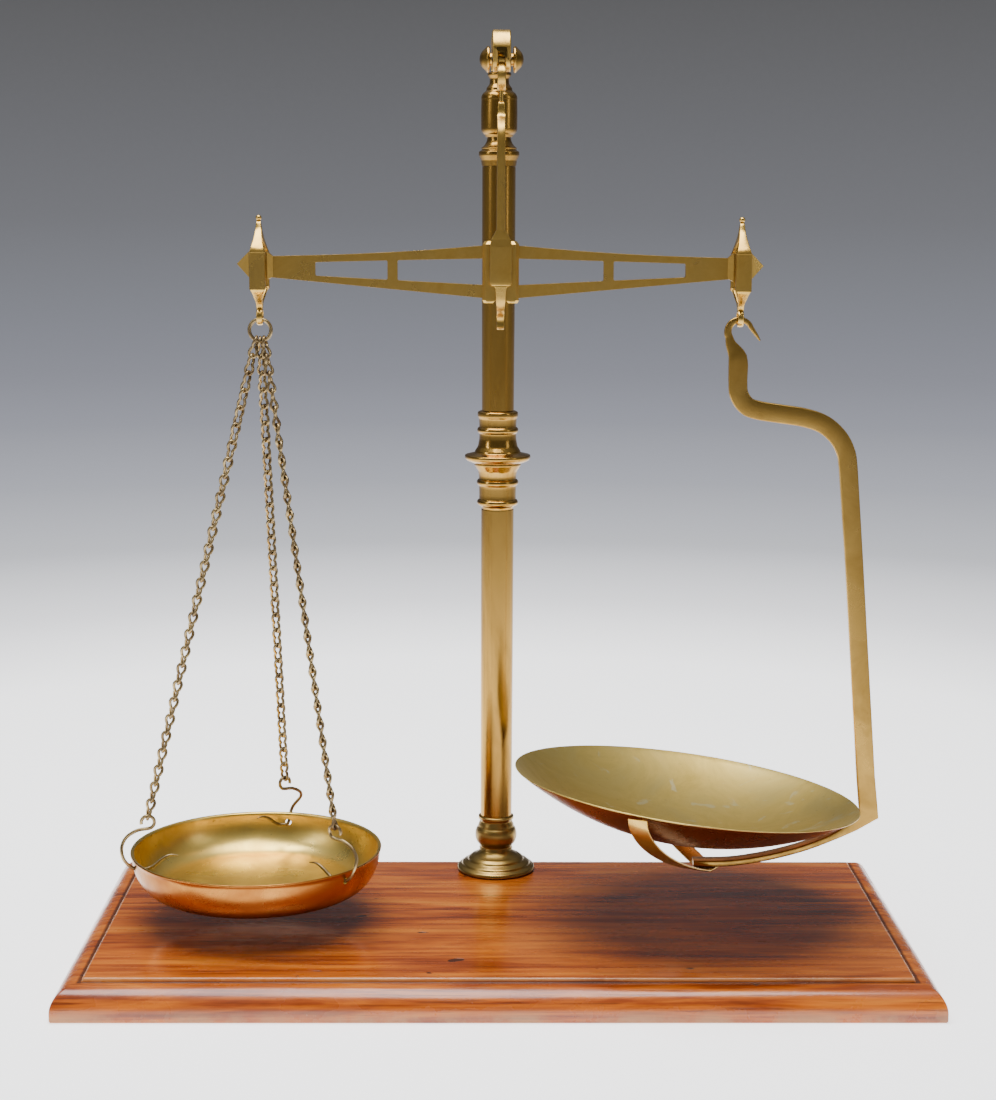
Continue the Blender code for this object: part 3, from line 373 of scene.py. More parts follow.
# ---------------------------------------------------------------- mesh helpers
def make(name, bm, mat, body, nodes=(), bevel=0.0, segments=2, angle=32.0):
    """A finished piece: edges rounded, normals outwards, riding on its body."""
    bmesh.ops.recalc_face_normals(bm, faces=bm.faces[:])
    mesh = bpy.data.meshes.new(name)
    bm.to_mesh(mesh)
    bm.free()
    obj = bpy.data.objects.new(name, mesh)
    bpy.context.scene.collection.objects.link(obj)
    mesh.shade_smooth()
    if bevel:
        modifier = obj.modifiers.new("Bevel", "BEVEL")
        modifier.width, modifier.segments = bevel, segments
        modifier.limit_method, modifier.angle_limit = "ANGLE", math.radians(28)
        weighted = obj.modifiers.new("Weighted", "WEIGHTED_NORMAL")
        weighted.mode, weighted.weight, weighted.thresh = "FACE_AREA", 100, 0.0001
        bpy.context.view_layer.update()
        evaluated = obj.evaluated_get(bpy.context.evaluated_depsgraph_get())
        finished = bpy.data.meshes.new_from_object(evaluated, preserve_all_data_layers=True,
                                                   depsgraph=bpy.context.evaluated_depsgraph_get())
        obj.modifiers.clear()
        obj.data = finished
        bpy.data.meshes.remove(mesh)
        finished.name = name
        mesh = finished
    else:
        mesh.set_sharp_from_angle(angle=math.radians(angle))
    mesh.materials.clear()
    mesh.materials.append(mat)
    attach(obj, body)
    for node in nodes or (name,):
        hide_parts(node)
    return obj


def second_skin(obj, mat, belongs):
    """Gives a second material to the faces that a test picks out."""
    obj.data.materials.append(mat)
    for face in obj.data.polygons:
        face.material_index = int(belongs(face))


def loft(bm, rings, closed=False):
    """Skins rings of equal length; open lofts are capped, closed ones meet their start."""
    loops = [[bm.verts.new(point) for point in ring] for ring in rings]
    pairs = list(zip(loops, loops[1:]))
    if closed:
        pairs.append((loops[-1], loops[0]))
    for first, second in pairs:
        count = len(first)
        for i in range(count):
            j = (i + 1) % count
            bm.faces.new((first[i], first[j], second[j], second[i]))
    if not closed:
        bm.faces.new(list(reversed(loops[0])))
        bm.faces.new(loops[-1])
    return bm


def turned(profile, place=Matrix(), sides=ROUND):
    """Turns a closed profile of (radius, height); points of radius 0 lie on the axis."""
    bm = bmesh.new()
    columns = []
    for radius, height in profile:
        if radius < 1e-7:
            columns.append([bm.verts.new(place @ Vector((0, 0, height)))] * sides)
            continue
        angles = (2 * math.pi * i / sides for i in range(sides))
        columns.append([bm.verts.new(place @ Vector((radius * math.cos(a), radius * math.sin(a), height)))
                        for a in angles])
    for first, second in zip(columns, columns[1:] + columns[:1]):
        for i in range(sides):
            j = (i + 1) % sides
            corners = []
            for vert in (first[i], first[j], second[j], second[i]):
                if vert not in corners:
                    corners.append(vert)
            if len(corners) > 2:
                bm.faces.new(corners)
    return bm


def rounded(points, radius, steps=3):
    """Rounds the corners of an open line of (a, b) by up to a radius."""
    points = [Vector(p) for p in points]
    line = [points[0]]
    for before, here, after in zip(points, points[1:], points[2:]):
        back, ahead = before - here, after - here
        if back.length < 1e-9 or ahead.length < 1e-9:
            continue
        reach = min(radius, 0.42 * back.length, 0.42 * ahead.length)
        start, end = here + back.normalized() * reach, here + ahead.normalized() * reach
        if back.normalized().dot(ahead.normalized()) < -0.995:
            line.append(here)
            continue
        for i in range(steps + 1):
            t = i / steps
            line.append(start.lerp(here, t).lerp(here.lerp(end, t), t))
    line.append(points[-1])
    return [tuple(p) for p in line]


def along_x(x, y, z):
    return Matrix.Translation((x, y, z)) @ Matrix.Rotation(math.pi / 2, 4, "Y")


def upright(x, y, z=0.0):
    return Matrix.Translation((x, y, z))


def box(low, high):
    (x0, y0, z0), (x1, y1, z1) = low, high
    return loft(bmesh.new(), [[(x0, y0, z), (x1, y0, z), (x1, y1, z), (x0, y1, z)] for z in (z0, z1)])


def hull(points):
    bm = bmesh.new()
    for point in points:
        bm.verts.new(point)
    bmesh.ops.convex_hull(bm, input=bm.verts[:])
    bmesh.ops.dissolve_limit(bm, angle_limit=math.radians(1), verts=bm.verts[:], edges=bm.edges[:])
    return bm


def rod(start, end, radius, sides=32):
    start, end = Vector(start), Vector(end)
    turn_to = (end - start).to_track_quat("Z", "Y").to_matrix().to_4x4()
    length = (end - start).length
    return turned([(0, 0), (radius, 0), (radius, length), (0, length)], Matrix.Translation(start) @ turn_to, sides)


def combine(bm, other, operation):
    """Joins or cuts two closed bodies with Blender's exact solver."""
    pieces = []
    for shape in (bm, other):
        bmesh.ops.recalc_face_normals(shape, faces=shape.faces[:])
        mesh = bpy.data.meshes.new("piece")
        shape.to_mesh(mesh)
        shape.free()
        obj = bpy.data.objects.new("piece", mesh)
        bpy.context.collection.objects.link(obj)
        pieces.append(obj)
    modifier = pieces[0].modifiers.new("Boolean", "BOOLEAN")
    modifier.operation, modifier.solver, modifier.object = operation, "EXACT", pieces[1]
    bpy.context.view_layer.update()
    result = bmesh.new()
    result.from_object(pieces[0], bpy.context.evaluated_depsgraph_get())
    for obj in pieces:
        mesh = obj.data
        bpy.data.objects.remove(obj, do_unlink=True)
        bpy.data.meshes.remove(mesh)
    bmesh.ops.remove_doubles(result, verts=result.verts[:], dist=2e-6)
    bmesh.ops.dissolve_degenerate(result, edges=result.edges[:], dist=2e-6)
    return result


def union(bm, *others):
    for other in others:
        bm = combine(bm, other, "UNION")
    return bm


def cut(bm, *cutters):
    for cutter in cutters:
        bm = combine(bm, cutter, "DIFFERENCE")
    return bm


def arc(centre, radius, start, end, steps):
    across, up = radius if isinstance(radius, tuple) else (radius, radius)
    points = []
    for i in range(steps + 1):
        a = math.radians(start + (end - start) * i / steps)
        points.append((centre[0] + across * math.cos(a), centre[1] + up * math.sin(a)))
    return points


def smooth(points, steps):
    """A Catmull-Rom curve through points of any dimension."""
    points = [Vector(p) for p in points]
    padded = [2 * points[0] - points[1], *points, 2 * points[-1] - points[-2]]
    curve = []
    for a, b, c, d in zip(padded, padded[1:], padded[2:], padded[3:]):
        for i in range(steps):
            t = i / steps
            curve.append(0.5 * (2 * b + (c - a) * t + (2 * a - 5 * b + 4 * c - d) * t * t
                                + (3 * b - a - 3 * c + d) * t ** 3))
    curve.append(points[-1])
    return curve


def section(width, thickness, corner, steps=3):
    """A rounded rectangle as (across, out) points."""
    corner = min(corner, 0.49 * width, 0.49 * thickness)
    points = []
    for sx, sy, start in QUARTERS:
        cx, cy = sx * (width / 2 - corner), sy * (thickness / 2 - corner)
        points += arc((cx, cy), corner, start, start + 90, steps)
    return points


def ribbon(stations, place, corner):
    """Sweeps a rounded bar along (x, z, width in the plane, thickness across it)."""
    rings = []
    for i, (x, z, width, thickness) in enumerate(stations):
        here = Vector((x, z))
        before = (here - Vector(stations[i - 1][:2])).normalized() if i else None
        after = (Vector(stations[i + 1][:2]) - here).normalized() if i + 1 < len(stations) else None
        before, after = before or after, after or before
        along = (before + after).normalized()
        side = Vector((-along.y, along.x)) / max(0.6, along.dot(after))
        ring = []
        for across, out in section(width, thickness, corner):
            flat = here + side * across
            ring.append(place @ Vector((flat.x, out, flat.y)))
        rings.append(ring)
    return loft(bmesh.new(), rings)


def wire(points, radius, sides=12, taper=0, closed=False):
    """A round wire along a path; the last points taper to a tip."""
    points = [Vector(p) for p in points]
    if closed:
        tangents = [(points[(i + 1) % len(points)] - points[i - 1]).normalized() for i in range(len(points))]
    else:
        tangents = [(b - a).normalized() for a, b in zip(points, points[1:])]
        tangents = [tangents[0], *[(a + b).normalized() for a, b in zip(tangents, tangents[1:])], tangents[-1]]
    normal = tangents[0].orthogonal().normalized()
    rings = []
    for i, (point, tangent) in enumerate(zip(points, tangents)):
        normal = (normal - tangent * normal.dot(tangent)).normalized()
        binormal = tangent.cross(normal)
        left = len(points) - 1 - i
        thick = radius * (1.0 if left >= taper else 0.25 + 0.75 * left / taper)
        rings.append([point + thick * (math.cos(a) * normal + math.sin(a) * binormal)
                      for a in (2 * math.pi * k / sides for k in range(sides))])
    return rings


def hoop(stations, x, y, corner=0.0006, steps=3):
    """A closed frame in the YZ plane with rounded edges, the same front and back."""
    def ring_at(station, side):
        out, out_z, inner, inner_z, width = station
        out, inner = Vector((out, out_z)), Vector((inner, inner_z))
        mid, half = (out + inner) / 2, (out - inner) / 2
        thick = 2 * half.length
        ring = []
        for across, deep in section(width, thick, corner, 2):
            flat = mid + half * (deep / (thick / 2))
            ring.append((x + across, y + side * flat.x, flat.y))
        return ring

    line = smooth([[value * MM for value in station] for station in stations], steps)
    rings = [ring_at(station, -1) for station in line]
    back = [ring_at(station, 1) for station in reversed(line[1:-1])]
    return loft(bmesh.new(), rings + back, closed=True)


# ---------------------------------------------------------------- board and pillar
def board(mat):
    """The board: a raised field, a small fillet and a thumb moulding on all sides."""
    thumb = arc((0.0155, 0.0060), (0.0155, 0.0165), 180, 92, 16)
    profile = [(0.0012, 0.0), (0.0004, 0.0003), (0.0, 0.0012), *thumb, (0.0172, 0.0224), (0.0181, 0.0221),
               (0.0189, 0.0223), (0.0193, 0.0232), (0.0196, 0.0243), (0.0201, 0.0248), (0.0210, BASE_HEIGHT)]
    rings = []
    soft, corner_steps = 0.0012, 5
    for inset, z in profile:
        half_x, half_y = BASE_WIDTH / 2 - inset, BASE_DEPTH / 2 - inset
        ring = []
        for sx, sy, start in QUARTERS:
            centre = (sx * (half_x - soft), sy * (half_y - soft))
            for px, py in arc(centre, soft, start, start + 90, corner_steps):
                ring.append((px, py, z))
        rings.append(ring)
    bm = loft(bmesh.new(), rings)
    make("board", bm, mat, "stand", ["base_board"], angle=40)


def pillar_piece(name, outline, bore, mat, corner=0.0006):
    outer = rounded([(radius * MM, height * MM) for radius, height in outline], corner)
    start, end = outer[0], outer[-1]
    profile = [(start[0] - 0.0003, start[1]), *outer[1:-1], (end[0], end[1]), (bore, end[1]), (bore, start[1])]
    make(name + "_turned", turned(profile, upright(0, COLUMN_Y)), mat, "stand", [name])


def pillar(mat, foot_mat):
    tube = TUBE_RADIUS / MM
    gap = GAP / MM
    base_top = BASE_HEIGHT / MM + gap
    pillar_piece("column_foot", [
        (29.5, base_top), (31.0, base_top + 1.2), (30.2, 28.6), (27.2, 30.0), (26.4, 31.6), (22.4, 33.4),
        (21.6, 35.0), *arc((24.5, 44.2), (12.4, 8.2), 245, 190, 9), (13.4, 42.8), (12.5, 44.6),
        *arc((12.4, 54.0), (4.1, 7.6), -70, 60, 14), (13.9, 62.6), (12.6, 65.8), (14.0, 67.4), (14.0, 69.4),
        (13.0, FOOT_TOP / MM)], BORE_RADIUS, foot_mat)
    pillar_piece("lower_tube", [(tube, FOOT_TOP / MM + gap), (tube, 200.0), (tube, LOWER_TUBE_TOP / MM - gap)],
                 TUBE_RADIUS - 0.0015, mat)
    pillar_piece("lower_collar", [
        (12.3, LOWER_TUBE_TOP / MM), (12.3, 318.0), *arc((13.4, 321.4), (2.6, 2.6), -70, 70, 10),
        (14.3, 327.5), (14.4, 332.0), *arc((13.6, 337.0), (2.6, 2.8), -70, 70, 10), (14.5, 342.0),
        (15.3, 346.0), (18.2, 350.6), (18.2, COLLAR_JOINT / MM - gap)], BORE_RADIUS, mat, 0.0012)
    pillar_piece("flange_collar", [
        (19.0, COLLAR_JOINT / MM), (24.4, 354.4), (25.5, 356.0), (25.5, 358.4), (18.0, 360.2), (17.6, 361.6),
        (15.4, 365.0), (14.4, 370.4), (14.3, 373.6), *arc((13.6, 377.6), (2.4, 2.6), -70, 70, 10),
        (14.4, 382.4), (14.7, 386.6), (15.7, 388.4), (15.7, 391.6), (13.4, UPPER_TUBE_BOTTOM / MM - gap)],
        BORE_RADIUS, mat, 0.0009)
    pillar_piece("upper_tube", [(tube, UPPER_TUBE_BOTTOM / MM), (tube, 480.0), (tube, CAPITAL_BOTTOM / MM - gap)],
                 TUBE_RADIUS - 0.0015, mat)
    pillar_piece("capital", [
        (13.3, CAPITAL_BOTTOM / MM), (13.6, 582.5), (15.4, 586.4), (15.4, 589.2), (13.0, 590.6),
        *arc((17.2, 600.4), (8.3, 9.2), 245, 195, 9), (9.1, VASE_BOTTOM / MM - gap)], BORE_RADIUS, mat)
    pillar_piece("vase_finial", [
        (10.4, VASE_BOTTOM / MM), *arc((8.6, 606.4), (5.1, 5.2), -60, 0, 8), (13.8, 618.0), (13.6, 627.5),
        *arc((8.7, 628.6), (5.0, 5.6), 0, 62, 8), (9.8, 634.6), (9.8, 636.2), (7.4, 639.4), (7.2, 643.2),
        (9.0, 645.8), (9.0, 647.4), (8.0, VASE_TOP / MM - gap)], BORE_RADIUS, mat, 0.0008)


def arm_outline():
    nose = arc((PLANE_Y + 0.0040, 0.6525), (0.0140, 0.0160), 90, 170, 14)
    cheek = arc((PLANE_Y, PIN_Z), 0.0085, 190, 350, 20)
    under = arc((0.060, 0.6460), (0.0620, 0.0100), 165, 90, 14)
    back_under = arc((COLUMN_Y - 0.0330, 0.6500), (0.0250, 0.0085), 80, 12, 8)
    back_over = arc((COLUMN_Y - 0.0140, 0.6520), (0.0220, 0.0200), 0, 90, 14)
    foot = [(COLUMN_Y - 0.0078, VASE_TOP), (COLUMN_Y + 0.0078, VASE_TOP)]
    return [*nose, *cheek, *under, *back_under, *foot, *back_over]


def swan_neck(mat):
    half = ARM_WIDTH / 2
    body = loft(bmesh.new(), [[(x, y, z) for y, z in arm_outline()] for x in (-half, half)])
    slot = box((-SLOT_WIDTH / 2, PLANE_Y - 0.030, 0.630), (SLOT_WIDTH / 2, PLANE_Y + 0.0130, 0.6545))
    pin_hole = rod((-0.02, PLANE_Y, PIN_Z), (0.02, PLANE_Y, PIN_Z), PIN_RADIUS + GAP)
    rod_hole = rod((0, COLUMN_Y, 0.640), (0, COLUMN_Y, 0.6560), BORE_RADIUS)
    make("swan_neck", cut(body, slot, pin_hole, rod_hole), mat, "stand", ["swan_neck_arm"], bevel=0.0016, segments=4)


def knobs(mat):
    bore, inner = PIN_RADIUS + GAP, ARM_WIDTH / 2 + GAP
    dome = rounded([(0.0092, 0.0095), (0.0090, 0.0100), (0.0078, 0.0112), (0.0052, 0.0138), (0.0026, 0.0151),
                    (0.0, 0.0154)], 0.0012, 4)
    profile = [(bore, inner), (0.0046, inner), (0.0046, 0.0080), (0.0084, 0.0082), (0.0091, 0.0087), *dome,
               (0.0, 0.0122), (bore, 0.0122)]
    for name, facing in (("left_knob", math.pi), ("right_knob", 0.0)):
        place = Matrix.Translation((0, PLANE_Y, PIN_Z)) @ Matrix.Rotation(facing, 4, "Z")
        knob = turned(profile, place @ Matrix.Rotation(math.pi / 2, 4, "Y"), 64)
        make(name + "_turned", knob, mat, "stand", [name])


# ---------------------------------------------------------------- hanger, shears, beam
def hanger(mat):
    eye = turned([(PIN_RADIUS + GAP, -0.0020), (0.0050, -0.0020), (0.0050, 0.0020), (PIN_RADIUS + GAP, 0.0020)],
                 along_x(0, PLANE_Y, PIN_Z), 48)
    stations = []
    for y, z in arc((PLANE_Y, 0.6366), (0.0105, 0.0086), 104, 315, 40):
        share = 1.0 if y > PLANE_Y else min(1.0, max(0.0, (0.6420 - z) / 0.003))
        stations.append((y, z, 0.0030, 0.0040 + 0.0018 * share))
    side_on = Matrix(((0, -1, 0, 0), (1, 0, 0, 0), (0, 0, 1, 0), (0, 0, 0, 1)))
    link = union(eye, ribbon(stations, side_on, 0.0009))
    link = cut(link, rod((0, PLANE_Y, 0.620), (0, PLANE_Y, 0.6335), 0.0018))
    make("hanger_hook", link, mat, "hanger", ["hanger_link"], bevel=0.0003)


def shears(mat):
    frame_piece = hoop([
        (0.0, 461.0, 0.0, 474.4, 5.0), (2.8, 463.0, 1.8, 474.8, 5.0), (2.4, 467.6, 4.0, 475.4, 5.0),
        (5.2, 471.6, 7.2, 476.6, 5.2), (10.8, 475.4, 10.0, 479.6, 5.4), (14.4, 481.0, 11.8, 484.4, 6.6),
        (15.6, 487.6, 12.8, 489.4, 7.4), (16.0, 491.4, 13.0, 491.8, 8.6), (16.0, 492.6, 13.0, 494.4, 13.4),
        (16.0, 494.0, 13.0, 495.2, 14.9), (16.0, 496.2, 13.0, 497.0, 15.5), (16.0, 508.0, 13.0, 508.0, 15.5),
        (16.0, 518.6, 13.0, 518.6, 15.5), (16.0, 519.8, 13.0, 519.8, 15.4), (16.0, 524.4, 13.0, 524.4, 13.6),
        (16.0, 525.0, 13.0, 525.0, 12.8), (15.4, 530.4, 12.8, 530.4, 6.9), (15.3, 532.0, 12.7, 532.0, 6.1),
        (15.2, 560.0, 12.6, 560.0, 5.8), (15.2, 590.0, 12.6, 588.0, 5.4),
        (13.2, 600.4, 10.2, 596.0, 5.3), (8.2, 606.4, 5.2, 601.4, 5.4), (4.4, 609.6, 2.2, 603.4, 5.8),
        (3.0, 613.6, 1.2, 604.0, 5.0), (2.2, 618.6, 0.5, 604.2, 4.2), (0.0, 620.0, 0.0, 604.3, 4.0)],
        0.0, PLANE_Y)
    shank = rod((0, PLANE_Y, 0.6150), (0, PLANE_Y, 0.6330), 0.0015, 24)
    make("shears_straps", frame_piece, mat, "shears_frame", ["shears"])
    make("shears_shank", shank, mat, "shears_frame", ["shears"])
    nut = turned(rounded([(0.0018, 0.6300), (0.0032, 0.6300), (0.0032, 0.6316), (0.0026, 0.6326), (0.0018, 0.6326)],
                         0.0003), upright(0, PLANE_Y), 40)
    make("swivel_nut_turned", nut, mat, "shears_frame", ["swivel_nut"])


def prism(outline, y_low, y_high):
    return loft(bmesh.new(), [[(x, y, z) for x, z in outline] for y in (y_low, y_high)])


def mirrored(points, side):
    return [(side * x, z) for x, z in points]


def knife_outline(x, edge_down, grow=0.0):
    height, half = 0.0075, 0.0036
    sign = 1 if edge_down else -1
    base = KNIFE_Z + sign * (height + grow)
    return [(x, KNIFE_Z - sign * grow * 1.8), (x + half + grow * 1.5, base), (x - half - grow * 1.5, base)]


def centre_block():
    half, deep, chamfer = BLOCK_HALF, 0.0080, 0.0022
    points = []
    for z, shrink in ((0.4800, 0.0010), (0.4820, 0.0), (0.5210, 0.0), (0.5232, 0.0016)):
        for sx in (-1, 1):
            for sy in (-1, 1):
                points.append((sx * (half - shrink), PLANE_Y + sy * (deep - chamfer - shrink), z))
                points.append((sx * (half - chamfer - shrink), PLANE_Y + sy * (deep - shrink), z))
    arch = turned([(0, -0.02), (0.0060, -0.02), (0.0060, 0.02), (0, 0.02)],
                  Matrix.Translation((0, PLANE_Y, 0.4772)) @ Matrix.Rotation(math.pi / 2, 4, "X"), 48)
    return cut(hull(points), arch)


def end_box(side):
    near, wide, far, tip = 0.1600, 0.1640, 0.1770, 0.1858
    points = [(side * tip, PLANE_Y, KNIFE_Z)]
    for deep in (-0.0050, 0.0050):
        for x, low, high in ((wide, 0.4958, 0.5152), (far, 0.4975, 0.5150)):
            points.append((side * x, PLANE_Y + deep, low))
            points.append((side * x, PLANE_Y + deep, high))
    for deep in (-0.0024, 0.0024):
        points.append((side * near, PLANE_Y + deep, 0.4978))
        points.append((side * near, PLANE_Y + deep, 0.5118))
    return hull(points)


def opening(corners):
    """A window with slightly rounded corners."""
    points = [Vector(p) for p in corners]
    line = []
    for i, here in enumerate(points):
        back, ahead = points[i - 1] - here, points[(i + 1) % len(points)] - here
        start, end = here + back.normalized() * 0.0012, here + ahead.normalized() * 0.0012
        for k in range(5):
            t = k / 4
            line.append(tuple(start.lerp(here, t).lerp(here.lerp(end, t), t)))
    return line


def beam(mat):
    half = BEAM_THICKNESS / 2
    low, high = PLANE_Y - half, PLANE_Y + half
    upper = smooth([(0.0100, 0.5203), (0.0600, 0.5163), (0.1130, 0.5135), (0.1640, 0.5120)], 6)
    upper = [tuple(p) for p in upper]
    lower = [(0.1640, 0.4975), (0.0100, 0.4832)]
    outline = mirrored(lower, -1)[::-1] + mirrored(upper, -1)[::-1] + upper + lower
    body = prism(outline, low, high)
    for side in (-1, 1):
        window = [(0.0090, 0.5111), (0.0726, 0.5096), (0.0726, 0.4956), (0.0090, 0.4924)]
        slot = [(0.0797, 0.5094), (0.1305, 0.5080), (0.1305, 0.4985), (0.0797, 0.4960)]
        for corners in (window, slot):
            body = cut(body, prism(mirrored(opening(corners), side), low - 0.01, high + 0.01))
    body = union(body, centre_block())
    for side in (-1, 1):
        body = union(body, end_box(side))
    for x, down in ((0.0, True), (-ARM_LENGTH, False), (ARM_LENGTH, False)):
        body = cut(body, prism(knife_outline(x, down, GAP), PLANE_Y - 0.02, PLANE_Y + 0.02))
    make("beam_pierced", body, mat, "beam_body", ["beam"], bevel=0.00035)
    rings = []
    for z, width, deep in ((0.5235, 0.0046, 0.0040), (0.5300, 0.0034, 0.0030), (0.5850, 0.0016, 0.0016),
                           (0.5990, 0.0008, 0.0008)):
        rings.append([(across, PLANE_Y + out, z) for across, out in section(width, deep, 0.0004)])
    make("pointer_blade", loft(bmesh.new(), rings), mat, "beam_body", ["beam_pointer"])


def shackle(name, x, mat):
    frame_piece = hoop([
        (0.0, 472.6, 0.0, 480.4, 4.2), (2.4, 475.0, 1.6, 481.0, 4.2), (5.0, 479.2, 5.6, 483.6, 4.6),
        (10.0, 483.0, 10.8, 487.4, 6.4), (14.6, 486.4, 13.0, 490.0, 8.0), (15.9, 488.6, 13.0, 490.8, 10.2),
        (16.0, 489.4, 13.0, 491.4, 11.1), (16.0, 491.0, 13.0, 492.6, 11.3), (16.0, 513.6, 13.0, 513.4, 11.3),
        (16.0, 514.6, 13.0, 514.2, 11.2), (15.0, 518.4, 12.2, 516.6, 9.0), (9.4, 524.5, 7.4, 520.4, 6.2),
        (4.0, 530.4, 2.2, 524.0, 4.4), (1.8, 535.4, 0.8, 526.0, 3.4), (0.0, 537.2, 0.0, 526.6, 3.2)],
        x, PLANE_Y, 0.0008)
    ball = turned([(0, 0.5366), *[(0.0021 * math.sin(a), 0.5387 - 0.0020 * math.cos(a))
                                  for a in (math.radians(d) for d in range(20, 170, 15))], (0, 0.5407)],
                  upright(x, PLANE_Y), 32)
    tube = rounded([(EYE_IN, -0.0010), (EYE_IN + 0.0004, -0.0021), (EYE_OUT - 0.0004, -0.0021), (EYE_OUT, -0.0010),
                    (EYE_OUT, 0.0010), (EYE_OUT - 0.0004, 0.0021), (EYE_IN + 0.0004, 0.0021), (EYE_IN, 0.0010)],
                   0.0004)
    eye = turned(tube, along_x(x, PLANE_Y, EYE_Z), 48)
    make(name + "_frame", frame_piece, mat, name + "_body", [name])
    make(name + "_ball", ball, mat, name + "_body", [name])
    make(name + "_eye", eye, mat, name + "_body", [name])


# ---------------------------------------------------------------- weights pan
def chain(name, top, bottom, top_across, bottom_across, mat):
    """A chain of twisted links: each has its two loops at right angles."""
    line = bottom - top
    count = round(line.length / LINK_PITCH)
    along = line.normalized()
    pitch = line.length / count
    start = (top_across - along * top_across.dot(along)).normalized()
    second = along.cross(start)
    wanted = (bottom_across - along * bottom_across.dot(along)).normalized()
    last = math.atan2(wanted.dot(second), wanted.dot(start)) - math.pi / 2
    last = (last + math.pi / 2) % math.pi - math.pi / 2
    twisting = 8                                     # only the first links take up the turn
    bm = bmesh.new()
    steps = 36
    for k in range(count):
        jitter = 0.10 * noise.noise(Vector((k * 0.73, top.x * 90, bottom.z * 70)))
        half = pitch / 2 + LINK_WIRE
        centre = top + along * (pitch * (k + 0.5))
        points = []
        for i in range(steps):
            a = 2 * math.pi * i / steps
            height = half * math.cos(a)
            share = 0.5 - height / (2 * half)
            waist = 0.42 + 0.58 * abs(2 * math.cos(a)) ** 0.8
            width = LINK_HALF_WIDTH * math.sin(a) * waist
            rise = share * share * (3 - 2 * share)
            step = last / twisting if k < twisting else 0.0
            turn_by = last * min(k, twisting) / twisting + (math.pi / 2 + step) * rise + jitter
            across = math.cos(turn_by) * start + math.sin(turn_by) * second
            points.append(centre - along * height + across * width)
        loft(bm, wire(points, LINK_WIRE, 8, closed=True), closed=True)
    make(name + "_links", bm, mat, "weights_side", [name], angle=60)


def heading(azimuth):
    a = math.radians(azimuth)
    return Vector((math.cos(a), math.sin(a), 0))


def ease(value, low, high):
    t = min(1.0, max(0.0, (value - low) / (high - low)))
    return t * t * (3 - 2 * t)


def hook_points(axis, out, plane):
    """A hook in space: loop and point lie in their own plane, the wire meets the wall square."""
    loop = axis + out * HOOK_LOOP[0]
    points, passed = [], False
    for r, z in hook_path():
        passed = passed or (z < 0.078 and r < HOOK_HOLE)
        if passed:
            inwards = HOOK_HOLE - r
            share = ease(inwards, 0.003, 0.009)
            point = axis + out * HOOK_HOLE - (out * (1 - share) + plane * share) * inwards
        else:
            share = ease(-z, -0.100, -0.080)
            point = (loop + plane * (r - HOOK_LOOP[0])).lerp(axis + out * r, share)
        points.append(point + Vector((0, 0, z)))
    return points


def hook_path():
    loop = arc(HOOK_LOOP, HOOK_LOOP_RADIUS, -15, 255, 34)
    shank = smooth([(0.0803, 0.1033), (0.0880, 0.1021), (0.0955, 0.0975), (0.0992, 0.0900), (0.0976, 0.0815),
                    (0.0915, 0.0750), (0.0840, 0.0734), (0.0770, 0.0756), (0.0710, 0.0802), (0.0650, 0.0832),
                    (0.0590, 0.0828)], 8)
    return loop[:-1] + [tuple(point) for point in shank]


def pan_gear(mat):
    """The suspension ring, the chains and the pan's hooks."""
    ring_centre = Vector((-ARM_LENGTH, PLANE_Y, EYE_Z - EYE_IN + 2.2 * GAP + RING_WIRE - RING_RADIUS))
    around_ring = [ring_centre + RING_RADIUS * Vector((math.cos(a), 0, math.sin(a)))
                   for a in (2 * math.pi * i / 64 for i in range(64))]
    bm = loft(bmesh.new(), wire(around_ring, RING_WIRE, 16, closed=True), closed=True)
    make("ring", bm, mat, "weights_side", ["suspension_ring"], angle=60)
    spread = {"left": -0.0028, "back": 0.0, "right": 0.0028}
    for side, (azimuth, twist) in HOOKS.items():
        out, plane = heading(azimuth), heading(azimuth + twist)
        around = Vector((-plane.y, plane.x, 0))
        axis = Vector((PAN_X, PLANE_Y, 0))
        rings = wire(hook_points(axis, out, plane), HOOK_WIRE, 14, taper=14)
        make(f"pan_hook_{side}_wire", loft(bmesh.new(), rings), mat, "weights_side", [f"pan_hook_{side}"],
             angle=60)
        loop_top = axis + out * HOOK_LOOP[0] + Vector((0, 0, HOOK_LOOP[1] + HOOK_LOOP_RADIUS))
        bottom = loop_top - Vector((0, 0, HOOK_WIRE))
        low = math.sqrt(RING_RADIUS ** 2 - spread[side] ** 2)
        top = ring_centre + Vector((spread[side], 0, RING_WIRE - low))
        chain(f"chain_{side}", top, bottom, Vector((0, 1, 0)), around, mat)


def pan_profile(radius, depth, floor):
    """A quarter ellipse from the rim down to the flat floor."""
    steps = 28
    points = []
    for i in range(steps + 1):
        a = math.radians(90 * i / steps)
        points.append((floor + (radius - floor) * math.cos(a), -depth * math.sin(a)))
    return points


